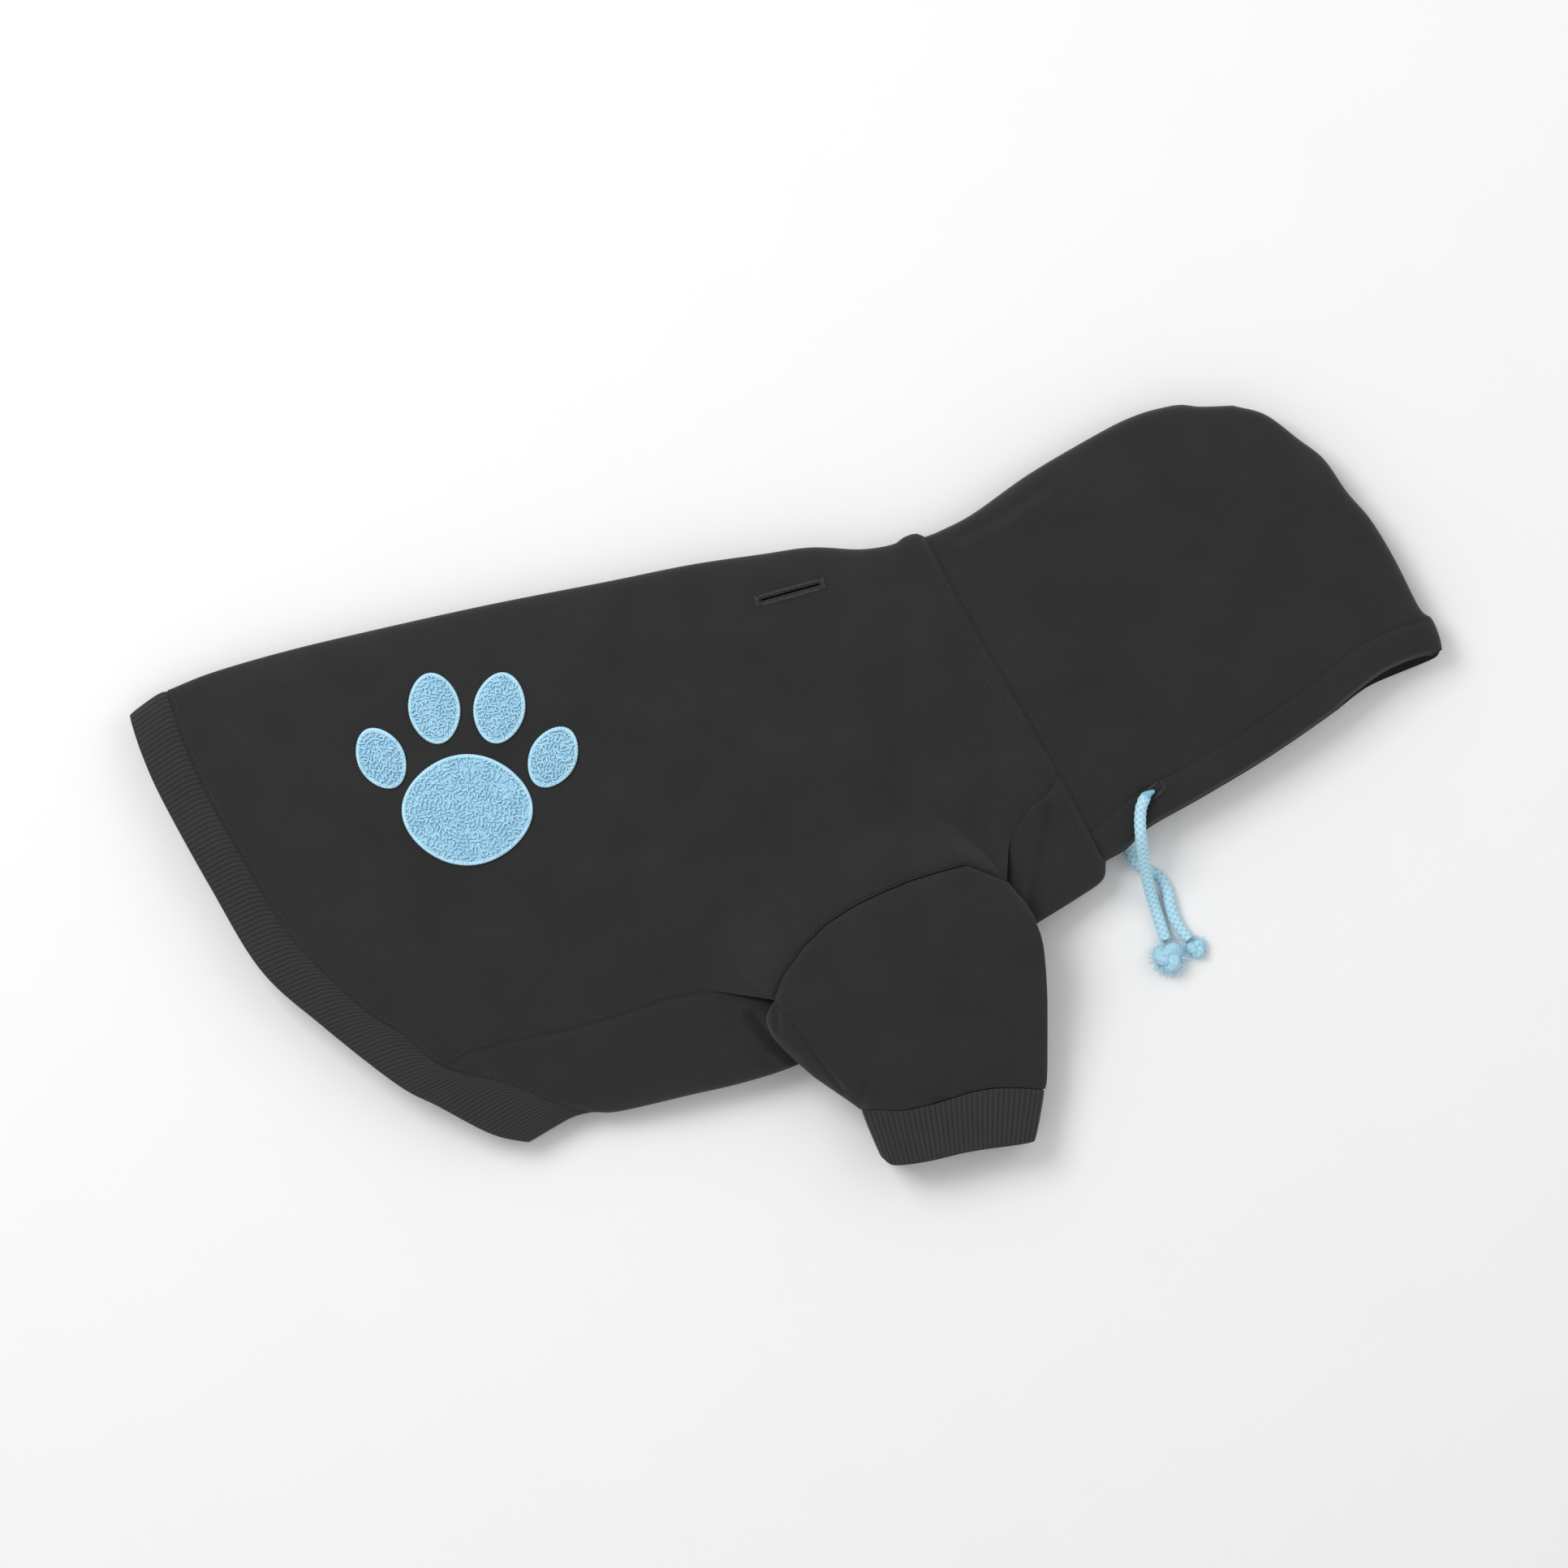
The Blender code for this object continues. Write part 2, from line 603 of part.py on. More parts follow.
def make_sleeve(name, layer, group, material):
    """Sleeve: a flattened tube from the armhole to the cuff seam."""
    across = both_folds(ARM_ROWS)
    facing = {layer: ARMHOLE_TOP, -layer: ARMHOLE_BOTTOM}
    rows = []
    for t in np.linspace(0.0, 1.0, SLEEVE_ROWS + 1):
        down = np.full(len(across), t)
        base = limb_base(across, down, layer)
        upper = limb_surface(sleeve_plan(facing[1])(across, down), across, base, SLEEVE_HEIGHT, 1)
        lower = limb_surface(sleeve_plan(facing[-1])(across, down), across, base, SLEEVE_HEIGHT, -1)
        rows.append(np.concatenate([upper, lower[-2:0:-1]]))
    return loft(name, trim_ends(rows, ARM_GAP), True, group, material, FLEECE)


def make_cuff(name, layer, group, material):
    """Ribbed cuff: a short flattened tube beyond the sleeve's seam."""
    across = both_folds(ARM_ROWS)
    rows = []
    for t in np.linspace(0.0, 1.0, CUFF_ROWS + 1):
        down = np.full(len(across), t)
        base = np.full(len(across), CUFF_HEIGHT + LIE_GAP if layer > 0 else 0.0)
        height = SLEEVE_HEIGHT + (CUFF_HEIGHT - SLEEVE_HEIGHT) * t
        plan = cuff_plan()(across, down)
        upper = limb_surface(plan, across, base, height, 1)
        lower = limb_surface(plan, across, base, height, -1)
        rows.append(np.concatenate([upper, lower[-2:0:-1]]))
    rows[0] = drawn_back(rows[0], rows[1], 2 * SEAM_GAP)
    return loft(name, rows, True, group, material, RIB)


def make_hem_band(group, material):
    """Ribbed band round the hem: a flattened tube that carries the body on."""
    plan = patch(edge(HEM_BACK, HEM_BELLY, HEM_EDGE), edge(BAND_BACK, BAND_BELLY, BAND_EDGE),
                 edge(HEM_BACK, BAND_BACK, BAND_BACK_SIDE),
                 edge(HEM_BELLY, BAND_BELLY, BAND_BELLY_SIDE))
    across = ring_steps(seam_down(0.0, BELLY_SEAM))
    share = fold(2 * across) * fold(2 * (1 - across))
    rows = []
    for t in np.linspace(0.0, 1.0, BAND_ROWS + 1):
        points = plan(across, np.full(len(across), t))
        upper = np.column_stack([points, HEM_HEIGHT / 2 * (1 + share)])
        lower = np.column_stack([points, HEM_HEIGHT / 2 * (1 - pressed(share))])
        rows.append(np.concatenate([upper, lower[-2:0:-1]]))
    rows[0] = drawn_back(rows[0], rows[1])
    return loft("hem_band", rows, True, group, material, RIB)


def cut_leash_slit(panel, cutters):
    """Slot through the upper layer of the back panel, for a leash."""
    place = body_plan(SLIT_PLACE["along"], SLIT_PLACE["down"])
    level = body_top(place)
    build = bmesh.new()
    bmesh.ops.create_cube(build, size=1.0)
    bmesh.ops.scale(build, vec=(SLIT_LENGTH, SLIT_WIDTH, 4 * FLEECE), verts=build.verts)
    upright = [rim for rim in build.edges
               if abs(rim.verts[0].co.z - rim.verts[1].co.z) > FLEECE]
    bmesh.ops.bevel(build, geom=upright, offset=SLIT_WIDTH * 0.45, segments=3, affect="EDGES")
    mesh = bpy.data.meshes.new("slit_cutter")
    build.to_mesh(mesh)
    build.free()
    cutter = bpy.data.objects.new("slit_cutter", mesh)
    cutters.objects.link(cutter)
    cutter.location = (*place, level)
    cutter.rotation_euler = (math.radians(SLIT_TILT), 0.0, math.radians(SLIT_PLACE["turn"]))
    cutter.hide_render = True
    cutter.display_type = "WIRE"
    cut = panel.modifiers.new("leash slit", "BOOLEAN")
    cut.object = cutter
    cut.solver = "EXACT"
    return cutter


def make_cushion(name, centre, half_sizes, turn, group, material):
    """Domed piece of the looped patch that lies along the back panel."""
    build = bmesh.new()
    bmesh.ops.create_uvsphere(build, u_segments=12, v_segments=6, radius=1.0)
    for vert in build.verts:
        across = vert.co.x * half_sizes[0]
        up = vert.co.y * half_sizes[1] * (1 - 0.12 * vert.co.x ** 2)
        point = centre + np.array([across * math.cos(turn) - up * math.sin(turn),
                                   across * math.sin(turn) + up * math.cos(turn)])
        crown = fold(max(0.0, vert.co.z), 2.0) if vert.co.z > 0 else 0.0
        level = body_top(point) + LIE_GAP + PATCH_THICKNESS * float(crown)
        vert.co = Vector((point[0], point[1], level))
    mesh = bpy.data.meshes.new(name)
    bmesh.ops.recalc_face_normals(build, faces=build.faces)
    build.to_mesh(mesh)
    build.free()
    return add_object(name, mesh, group, material)


def make_patch(group, material):
    """Paw print in looped yarn: a pad and a row of toes."""
    centre = body_plan(PAD_PLACE["along"], PAD_PLACE["down"])
    turn = math.radians(PAW_TURN)
    made = [make_cushion("paw_pad", centre, (PAD_SIZE / 2, PAD_LENGTH / 2), turn, group, material)]
    for index, toe in enumerate(TOES, start=1):
        across = toe["across"] * PAD_SIZE
        up = toe["up"] * PAD_SIZE
        place = centre + np.array([across * math.cos(turn) - up * math.sin(turn),
                                   across * math.sin(turn) + up * math.cos(turn)])
        half = (TOE_WIDTH / 2 * toe["share"], TOE_SIZE / 2 * toe["share"])
        lean = turn + math.radians(toe["turn"])
        made.append(make_cushion(f"paw_toe_{index}", place, half, lean, group, material))
    return made


def make_cord(name, route, group, material):
    """Round cord along its route."""
    points = spline(route)(np.linspace(0.0, 1.0, CORD_POINTS))
    curve = bpy.data.curves.new(name, "CURVE")
    curve.dimensions = "3D"
    line = curve.splines.new("POLY")
    line.points.add(CORD_POINTS - 1)
    for target, point in zip(line.points, points):
        target.co = (*point, 1.0)
    curve.bevel_depth = CORD_DIAMETER / 2
    curve.bevel_resolution = 2
    curve.use_fill_caps = True
    thing = bpy.data.objects.new(name, curve)
    group.objects.link(thing)
    curve.materials.append(material)
    return thing


def make_knot(name, place, size, group, material):
    """Frayed knot as a low blob that lies on the floor."""
    build = bmesh.new()
    bmesh.ops.create_uvsphere(build, u_segments=14, v_segments=8, radius=size / 2)
    for vert in build.verts:
        angle = math.atan2(vert.co.y, vert.co.x)
        swell = 1 + 0.06 * math.sin(3 * angle)
        vert.co = Vector((vert.co.x * swell, vert.co.y * swell, vert.co.z * KNOT_FLATNESS))
    bmesh.ops.translate(build, verts=build.verts, vec=(*place, size / 2 * KNOT_FLATNESS))
    mesh = bpy.data.meshes.new(name)
    build.to_mesh(mesh)
    build.free()
    return add_object(name, mesh, group, material)


def stand_on_origin(things, measured):
    """Move all pieces so that the measured ones stand centred on the origin."""
    bpy.context.view_layer.update()
    depsgraph = bpy.context.evaluated_depsgraph_get()
    corners = []
    for thing in measured:
        seen = thing.evaluated_get(depsgraph)
        corners += [seen.matrix_world @ Vector(corner) for corner in seen.bound_box]
    low = Vector([min(corner[axis] for corner in corners) for axis in range(3)])
    high = Vector([max(corner[axis] for corner in corners) for axis in range(3)])
    shift = Vector((-(low.x + high.x) / 2, -(low.y + high.y) / 2, -low.z))
    for thing in things:
        thing.location += shift


def main():
    """Build the hoodie."""
    clear_parts()
    group = collection("dog_hoodie")
    cutters = collection("cutters")
    fleece = finish("black fleece", BLACK_FLEECE, 0.95)
    rib = finish("black rib knit", BLACK_RIB, 0.9)
    blue = finish("sky blue loops", SKY_BLUE, 0.9)
    braid = finish("sky blue braid", SKY_BLUE, 0.8)
    back = make_back_panel(group, fleece)
    cutter = cut_leash_slit(back, cutters)
    cloth = [back, make_belly_panel(group, fleece), make_hem_band(group, rib),
             make_hood_panel("hood_right", 1, group, fleece),
             make_hood_panel("hood_left", -1, group, fleece)]
    for side, layer in (("right", 1), ("left", -1)):
        cloth.append(make_sleeve(f"sleeve_{side}", layer, group, fleece))
        cloth.append(make_cuff(f"cuff_{side}", layer, group, rib))
    cloth += make_patch(group, blue)
    cords = [make_cord("drawcord_right", RIGHT_CORD, group, braid),
             make_cord("drawcord_left", LEFT_CORD, group, braid),
             make_knot("cord_knot_right", RIGHT_KNOT, KNOT_SIZE, group, braid),
             make_knot("cord_knot_left", LEFT_KNOT, TAIL_KNOT_SIZE, group, braid)]
    stand_on_origin(cloth + cords + [cutter], cloth)


main()
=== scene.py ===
"""Dress a pull-on dog hoodie of black fleece that lies on its left side."""

import logging
import math
from dataclasses import dataclass, field
from enum import Enum
from typing import Callable, Dict, List, Sequence, Tuple

import bpy
import numpy as np
from mathutils import Matrix, Vector, noise
from mathutils.bvhtree import BVHTree


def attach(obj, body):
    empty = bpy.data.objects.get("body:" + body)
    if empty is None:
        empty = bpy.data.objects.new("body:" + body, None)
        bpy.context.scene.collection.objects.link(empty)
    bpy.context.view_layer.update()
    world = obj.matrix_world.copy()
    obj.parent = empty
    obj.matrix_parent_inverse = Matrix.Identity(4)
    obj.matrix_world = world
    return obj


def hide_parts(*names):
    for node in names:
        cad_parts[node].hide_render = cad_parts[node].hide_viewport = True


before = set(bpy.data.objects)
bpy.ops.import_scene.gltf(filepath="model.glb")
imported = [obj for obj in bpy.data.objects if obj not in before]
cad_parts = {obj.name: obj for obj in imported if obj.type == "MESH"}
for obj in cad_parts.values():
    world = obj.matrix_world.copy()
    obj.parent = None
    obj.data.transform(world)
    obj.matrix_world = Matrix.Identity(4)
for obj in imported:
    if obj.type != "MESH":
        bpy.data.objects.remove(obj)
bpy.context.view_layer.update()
LOG = logging.getLogger("dog hoodie")

Array = np.ndarray
Table = Sequence[Tuple[float, ...]]
Curve = Callable[[Array], Array]
Surface = Callable[[Array, Array], Array]

FLOOR_PRESS = 1.08
CORD_HOLE = (0.4652, -0.1528, 0.0)
CORD_HOLE_TURN = 28.0


class Layer(Enum):
    """Which of the two layers of the flattened garment is meant."""

    UPPER = 1
    LOWER = -1


class Panel(Enum):
    """Cloth panel of the body tube."""

    BACK = "back"
    BELLY = "belly"


# Curves and patches of the plan


def spline(points: Table, per_span: int = 12) -> Curve:
    """Make a smooth curve through points.

    Args:
        points: The points to pass, plan or space.
        per_span: Samples between two points.

    Returns:
        The curve as a function of its length share.
    """
    held = np.array(points, float)
    held = np.vstack([2 * held[0] - held[1], held, 2 * held[-1] - held[-2]])
    drawn = []
    for start in range(len(points) - 1):
        before, first, second, after = held[start:start + 4]
        for step in range(per_span):
            u = step / per_span
            drawn.append(0.5 * (2 * first + (second - before) * u
                                + (2 * before - 5 * first + 4 * second - after) * u ** 2
                                + (3 * first - before - 3 * second + after) * u ** 3))
    drawn.append(held[-2])
    track = np.array(drawn)
    steps = np.linalg.norm(np.diff(track, axis=0), axis=1)
    reached = np.concatenate([[0.0], np.cumsum(steps)]) / steps.sum()

    def at(share: Array) -> Array:
        """Points at length shares."""
        return np.stack([np.interp(share, reached, track[:, axis])
                         for axis in range(track.shape[1])], -1)
    return at


def edge(start: Array, end: Array, shares: Table) -> Curve:
    """Make a plan edge that bows out by shares of its chord.

    Args:
        start: First plan point.
        end: Last plan point.
        shares: Rows of (along, out), out to the left of the chord.

    Returns:
        The edge as a function of its length share.
    """
    first = np.array(start, float)
    chord = np.array(end, float) - first
    left = np.array([-chord[1], chord[0]])
    inner = [first + along * chord + out * left for along, out in shares]
    return spline([first, *inner, first + chord])


def patch(top: Curve, bottom: Curve, first: Curve, last: Curve) -> Surface:
    """Fill four plan edges with a smooth patch.

    Args:
        top: Edge at t = 0.
        bottom: Edge at t = 1.
        first: Edge at s = 0.
        last: Edge at s = 1.

    Returns:
        The patch as a function of s and t.
    """
    def at(s: Array, t: Array) -> Array:
        """Plan points at shares."""
        along = np.asarray(s, float)
        downward = np.asarray(t, float)
        across = along[..., None]
        down = downward[..., None]
        ruled = ((1 - down) * top(along) + down * bottom(along)
                 + (1 - across) * first(downward) + across * last(downward))
        corners = ((1 - across) * (1 - down) * top(0.0) + across * (1 - down) * top(1.0)
                   + (1 - across) * down * bottom(0.0) + across * down * bottom(1.0))
        return ruled - corners
    return at


def smooth(value: Array, low: float, high: float) -> Array:
    """Step smoothly from 0 at low to 1 at high."""
    share = np.clip((np.asarray(value, float) - low) / (high - low), 0.0, 1.0)
    return share * share * (3 - 2 * share)


def fold(share: Array, power: float = 3.0) -> Array:
    """Give the height share of a fold's round side, 0 on the fold and 1 from share 1 on."""
    inside = 1 - np.clip(share, 0.0, 1.0)
    return (1 - inside ** power) ** (1 / power)


def pressed(share: Array) -> Array:
    """Give the height share of a lower layer that lies flat on the floor."""
    return np.minimum(1.0, share * FLOOR_PRESS)


def distance(points: Array, line: Array) -> Array:
    """Measure how far plan points lie from a plan line.

    Args:
        points: Plan points, one a row.
        line: Corners of the line, one a row.

    Returns:
        The distances in metres.
    """
    nearest = np.full(len(points), 1e9)
    for start, end in zip(line, line[1:]):
        span = end - start
        offset = points - start
        share = np.clip((offset @ span) / (span @ span), 0.0, 1.0)
        nearest = np.minimum(nearest, np.linalg.norm(offset - share[:, None] * span, axis=1))
    return nearest


def unit(vectors: Array) -> Array:
    """Scale vectors to length one."""
    return vectors / np.maximum(np.linalg.norm(vectors, axis=-1, keepdims=True), 1e-12)


@dataclass(frozen=True)
class GarmentPlan:
    """Sizes in metres, edges and heights of the lying garment, from the back's hem corner."""

    back_length: float = 0.3815
    nape_drop: float = 0.0065
    body_depth: float = 0.249
    hem_sweep: float = 0.1615
    neck_sweep: float = 0.0528
    neck_depth: float = 0.1755
    hood_crest: float = 0.1624
    hood_rise: float = 0.0307
    hood_reach: float = 0.2373
    hood_drop: float = 0.1091
    band_depth: float = 0.0226
    underarm_length: float = 0.0689
    underarm_sweep: float = 0.0297
    cuff_width: float = 0.0915
    cuff_slant: float = 0.0100
    cuff_depth: float = 0.0250
    cuff_taper: float = 0.0150
    fleece: float = 0.0020
    rib: float = 0.0026
    lie_gap: float = 0.0004
    body_height: float = 0.0280
    hem_height: float = 0.0230
    neck_height: float = 0.0255
    hood_height: float = 0.0270
    hood_lip: float = 0.0240
    sleeve_height: float = 0.0115
    cuff_height: float = 0.0130
    cord_lift: float = 0.0065
    crest_gap: float = 0.0015
    hood_fold: float = 0.090
    sleeve_fold: float = 0.22
    sleeve_power: float = 2.4
    hem_ease: float = 0.16
    neck_start: float = 0.88
    lift_ease: float = 0.10
    lift_spread: float = 0.13
    seam_ease: float = 0.05
    seam_spread: float = 0.16
    crest_margin: float = 0.0002
    cord_size: float = 0.0060
    to_row: Tuple[float, float, float] = (-0.29884, 0.139428, 0.000006)
    back_edge: Table = ((0.061, 0.011), (0.159, 0.019), (0.267, 0.023), (0.428, 0.026),
                        (0.588, 0.025), (0.695, 0.025), (0.790, 0.020), (0.853, 0.016),
                        (0.915, 0.001), (0.957, -0.001), (0.972, 0.005), (0.989, 0.007))
    hem_edge: Table = ((0.076, -0.039), (0.169, -0.076), (0.293, -0.112), (0.389, -0.137),
                       (0.456, -0.149), (0.546, -0.150), (0.621, -0.146), (0.686, -0.131),
                       (0.766, -0.123), (0.863, -0.068), (0.947, -0.033))
    neck_edge: Table = ((0.120, -0.004), (0.281, -0.007), (0.672, 0.000))
    belly_edge: Table = ((0.042, -0.018), (0.163, -0.046), (0.263, -0.069), (0.365, -0.082),
                         (0.525, -0.078), (0.694, -0.061), (0.842, -0.044), (0.930, -0.036),
                         (0.981, -0.027))
    band_edge: Table = ((0.067, -0.029), (0.148, -0.056), (0.309, -0.096), (0.474, -0.130),
                        (0.615, -0.118), (0.774, -0.093), (0.850, -0.067), (0.943, -0.035))
    crest_edge: Table = ((0.052, -0.001), (0.161, 0.008), (0.365, 0.052), (0.614, 0.083),
                         (0.722, 0.087), (0.797, 0.078), (0.856, 0.064), (0.910, 0.035))
    brow_edge: Table = ((0.087, 0.058), (0.210, 0.086), (0.310, 0.106), (0.433, 0.094),
                        (0.549, 0.094), (0.694, 0.070), (0.854, 0.031), (0.906, 0.038),
                        (0.966, 0.019))
    low_front: Table = ((0.064, -0.001), (0.134, 0.015), (0.287, 0.008), (0.477, 0.004),
                        (0.673, 0.008), (0.763, 0.017), (0.822, 0.016), (0.942, -0.004),
                        (0.981, -0.007))
    top_front: Table = ((0.064, -0.001), (0.134, 0.015), (0.287, 0.008), (0.477, 0.004),
                        (0.674, 0.012), (0.729, 0.021), (0.831, 0.030), (0.910, 0.021),
                        (0.971, 0.004))
    sleeve_back: Table = ((0.065, -0.124), (0.205, -0.167), (0.406, -0.150), (0.580, -0.121),
                          (0.710, -0.086), (0.916, -0.024))
    sleeve_front: Table = ((0.144, 0.079), (0.225, 0.101), (0.331, 0.112), (0.541, 0.092),
                           (0.805, 0.047), (0.947, 0.019))
    cuff_seam: Table = ((0.105, -0.012), (0.213, -0.027), (0.390, -0.011), (0.614, 0.031),
                        (0.791, 0.034))
    cuff_end: Table = ((0.059, -0.044), (0.162, -0.052), (0.329, -0.043), (0.593, -0.012))
    belly_seam: Table = ((0.000, 0.749), (0.053, 0.736), (0.100, 0.737), (0.187, 0.753),
                         (0.259, 0.756), (0.333, 0.756), (0.392, 0.781), (0.435, 0.855))
    armhole_top: Table = ((0.435, 0.855), (0.481, 0.814), (0.539, 0.779), (0.589, 0.760),
                          (0.637, 0.755), (0.683, 0.759), (0.725, 0.766), (0.765, 0.779),
                          (0.803, 0.796), (0.835, 0.877))
    armhole_bottom: Table = ((0.435, 0.855), (0.466, 0.885), (0.543, 0.898), (0.643, 0.901),
                             (0.727, 0.902), (0.798, 0.896), (0.835, 0.877))
    chest_seam: Table = ((0.835, 0.877), (0.870, 0.808), (0.895, 0.771), (0.935, 0.738),
                         (1.000, 0.732))
    left_cord: Table = ((0.4644, -0.1560), (0.4590, -0.1585), (0.4535, -0.1635),
                        (0.4492, -0.1700), (0.4474, -0.1765), (0.4478, -0.1830))

    @property
    def hem_belly(self) -> Array:
        """Belly corner of the hem."""
        return np.array([self.hem_sweep, -self.body_depth])

    @property
    def nape(self) -> Array:
        """Top corner of the neck seam."""
        return np.array([self.back_length, -self.nape_drop])

    @property
    def throat(self) -> Array:
        """Low corner of the neck seam."""
        return self.nape + np.array([self.neck_sweep, -self.neck_depth])

    @property
    def crest(self) -> Array:
        """End of the hood's crest."""
        return self.nape + np.array([self.hood_crest, self.hood_rise])

    @property
    def tip(self) -> Array:
        """Front tip of the hood."""
        return self.nape + np.array([self.hood_reach, -self.hood_drop])

    @property
    def arm_start(self) -> float:
        """Share along the back where the armhole starts."""
        return self.armhole_top[0][0]

    @property
    def arm_end(self) -> float:
        """Share along the back where the armhole ends."""
        return self.armhole_top[-1][0]

    def body(self) -> Surface:
        """Plan patch of the body."""
        hem_back = np.zeros(2)
        return patch(edge(hem_back, self.nape, self.back_edge),
                     edge(self.hem_belly, self.throat, self.belly_edge),
                     edge(hem_back, self.hem_belly, self.hem_edge),
                     edge(self.nape, self.throat, self.neck_edge))

    def hood(self, layer: Layer) -> Surface:
        """Plan patch of one side of the hood."""
        front = self.top_front if layer is Layer.UPPER else self.low_front
        return patch(edge(self.nape, self.crest, self.crest_edge),
                     edge(self.throat, self.tip, front),
                     edge(self.nape, self.throat, self.neck_edge),
                     edge(self.crest, self.tip, self.brow_edge))

    def band(self) -> Surface:
        """Plan patch of the hem band."""
        back = self.band_depth * np.array([-0.942, -0.336])
        belly = self.hem_belly + self.band_depth * np.array([-1.571, -0.354])
        return patch(edge(np.zeros(2), self.hem_belly, self.hem_edge),
                     edge(back, belly, self.band_edge),
                     edge(np.zeros(2), back, [(0.250, -0.045)]),
                     edge(self.hem_belly, belly, [(0.270, -0.066), (0.600, -0.050)]))

    def seam_down(self, along: Array, *tables: Table) -> Array:
        """How far down the side a seam lies at shares along the back."""
        rows = sorted({row for table in tables for row in table})
        return np.interp(along, [row[0] for row in rows], [row[1] for row in rows])

    def seam_line(self, table: Table, count: int = 40) -> Array:
        """Plan line of a seam of the body."""
        along = np.linspace(table[0][0], table[-1][0], count)
        return self.body()(along, self.seam_down(along, table))

    def neck_line(self, count: int = 40) -> Array:
        """Plan line of the neck seam."""
        return edge(self.nape, self.throat, self.neck_edge)(np.linspace(0.0, 1.0, count))

    def hem_line(self, count: int = 60) -> Array:
        """Plan line of the seam at the hem band."""
        return edge(np.zeros(2), self.hem_belly, self.hem_edge)(np.linspace(0.0, 1.0, count))

    def crest_line(self, count: int = 140) -> Array:
        """Plan line over the top of the hood."""
        steps = np.linspace(0.0, 1.0, count)
        return np.vstack([edge(self.nape, self.crest, self.crest_edge)(steps),
                          edge(self.crest, self.tip, self.brow_edge)(steps[1:])])

    def arm_reach(self, s: Array, ease: float) -> Array:
        """Share that is 1 along the armhole and eases out beyond its corners."""
        return (smooth(s, self.arm_start - ease, self.arm_start)
                * (1 - smooth(s, self.arm_end, self.arm_end + ease)))

    def sleeve_round(self, t: Array) -> Array:
        """Height share across a sleeve, round on both of its folds."""
        return (fold(t / self.sleeve_fold, self.sleeve_power)
                * fold((1 - t) / self.sleeve_fold, self.sleeve_power))

    def plateau(self, s: Array) -> Array:
        """Level of the body's upper side along the back."""
        rise = (self.body_height - self.hem_height) * smooth(s, 0.0, self.hem_ease)
        fall = (self.neck_height - self.body_height) * smooth(s, self.neck_start, 1.0)
        return self.hem_height + rise + fall

    def body_skin(self, s: Array, t: Array, layer: Layer, panel: Panel) -> Array:
        """Give points of the outer skin of a body panel.

        Args:
            s: Shares along the back.
            t: Shares down the side.
            layer: Upper or lower layer.
            panel: The panel that the points belong to.

        Returns:
            Points in the garment's own frame.
        """
        points = self.body()(s, t)
        rest = self.sleeve_height + self.lie_gap
        share = fold(2 * t) * fold(2 * (1 - t))
        low = np.zeros_like(t)
        if panel is Panel.BELLY:
            line = self.seam_down(s, self.belly_seam, self.armhole_bottom, self.chest_seam)
            within = (s >= self.arm_start - 1e-6) & (s <= self.arm_end + 1e-6)
            lifted = np.where(within, 1.0, smooth(t, line, line + self.lift_spread))
            low = rest * self.arm_reach(s, self.lift_ease) * lifted
        under = rest * smooth(t, 0.5, 1.0) * self.arm_reach(s, self.lift_ease)
        high = self.plateau(s)
        middle = (under + high) / 2
        if layer is Layer.LOWER:
            height = middle - (middle - low) * pressed(share)
        else:
            height = middle + (high - middle) * share
            if panel is Panel.BACK:
                line = self.seam_down(s, self.belly_seam, self.armhole_top, self.chest_seam)
                around = np.clip((s - self.arm_start) / (self.arm_end - self.arm_start), 0, 1)
                rim = self.lie_gap + self.sleeve_height / 2 * (1 + self.sleeve_round(around))
                near_seam = smooth(t, line - self.seam_spread, line)
                height = height + rim * self.arm_reach(s, self.seam_ease) * near_seam
        return np.concatenate([points, height[..., None]], -1)

    def hood_skin(self, s: Array, t: Array, layer: Layer) -> Array:
        """Give points of the outer skin of one side of the hood.

        Args:
            s: Shares from the neck seam to the brow.
            t: Shares from the crest to the front edge.
            layer: Upper or lower layer.

        Returns:
            Points in the garment's own frame.
        """
        side = layer.value
        points = self.hood(layer)(s, t)
        throat = fold(2 * (1 - t))
        throat = throat + (1 - throat) * smooth(s, 0.0, 0.15)
        inside = np.maximum(distance(points, self.crest_line()) - self.crest_margin, 0.0)
        share = fold(inside / self.hood_fold) * throat
        open_up = smooth(s, 0.0, 0.3)
        high = self.neck_height + (self.hood_height - self.neck_height) * open_up
        high = high + (self.hood_lip - self.hood_height) * open_up * smooth(t, 0.7, 1.0)
        middle = (self.neck_height + side * self.crest_gap) / 2
        if layer is Layer.UPPER:
            height = middle + (high - middle) * share
        else:
            near = distance(points, spline(self.left_cord)(np.linspace(0.0, 1.0, 60)))
            lift = 1 - smooth(near, 2.5 * self.cord_size, 6 * self.cord_size)
            height = np.maximum(middle * (1 - pressed(share)), self.cord_lift * lift)
        return np.concatenate([points, height[..., None]], -1)

    def cuff_corners(self) -> Tuple[Array, Array]:
        """Back and front corner of the seam between sleeve and cuff."""
        fall = math.sqrt(self.underarm_length ** 2 - self.underarm_sweep ** 2)
        back = self.body()(*self.armhole_top[0]) + np.array([self.underarm_sweep, -fall])
        run = math.sqrt(self.cuff_width ** 2 - self.cuff_slant ** 2)
        return back, back + np.array([run, -self.cuff_slant])

    def sleeve(self, table: Table) -> Surface:
        """Plan patch of a sleeve from one side of the armhole to the cuff seam."""
        back, front = self.cuff_corners()

        def armhole(share: Array) -> Array:
            """Plan points of the armhole's edge."""
            along = self.arm_start + (self.arm_end - self.arm_start) * np.asarray(share, float)
            return self.body()(along, self.seam_down(along, table))
        return patch(armhole, edge(back, front, self.cuff_seam),
                     edge(self.body()(*table[0]), back, self.sleeve_back),
                     edge(self.body()(*table[-1]), front, self.sleeve_front))

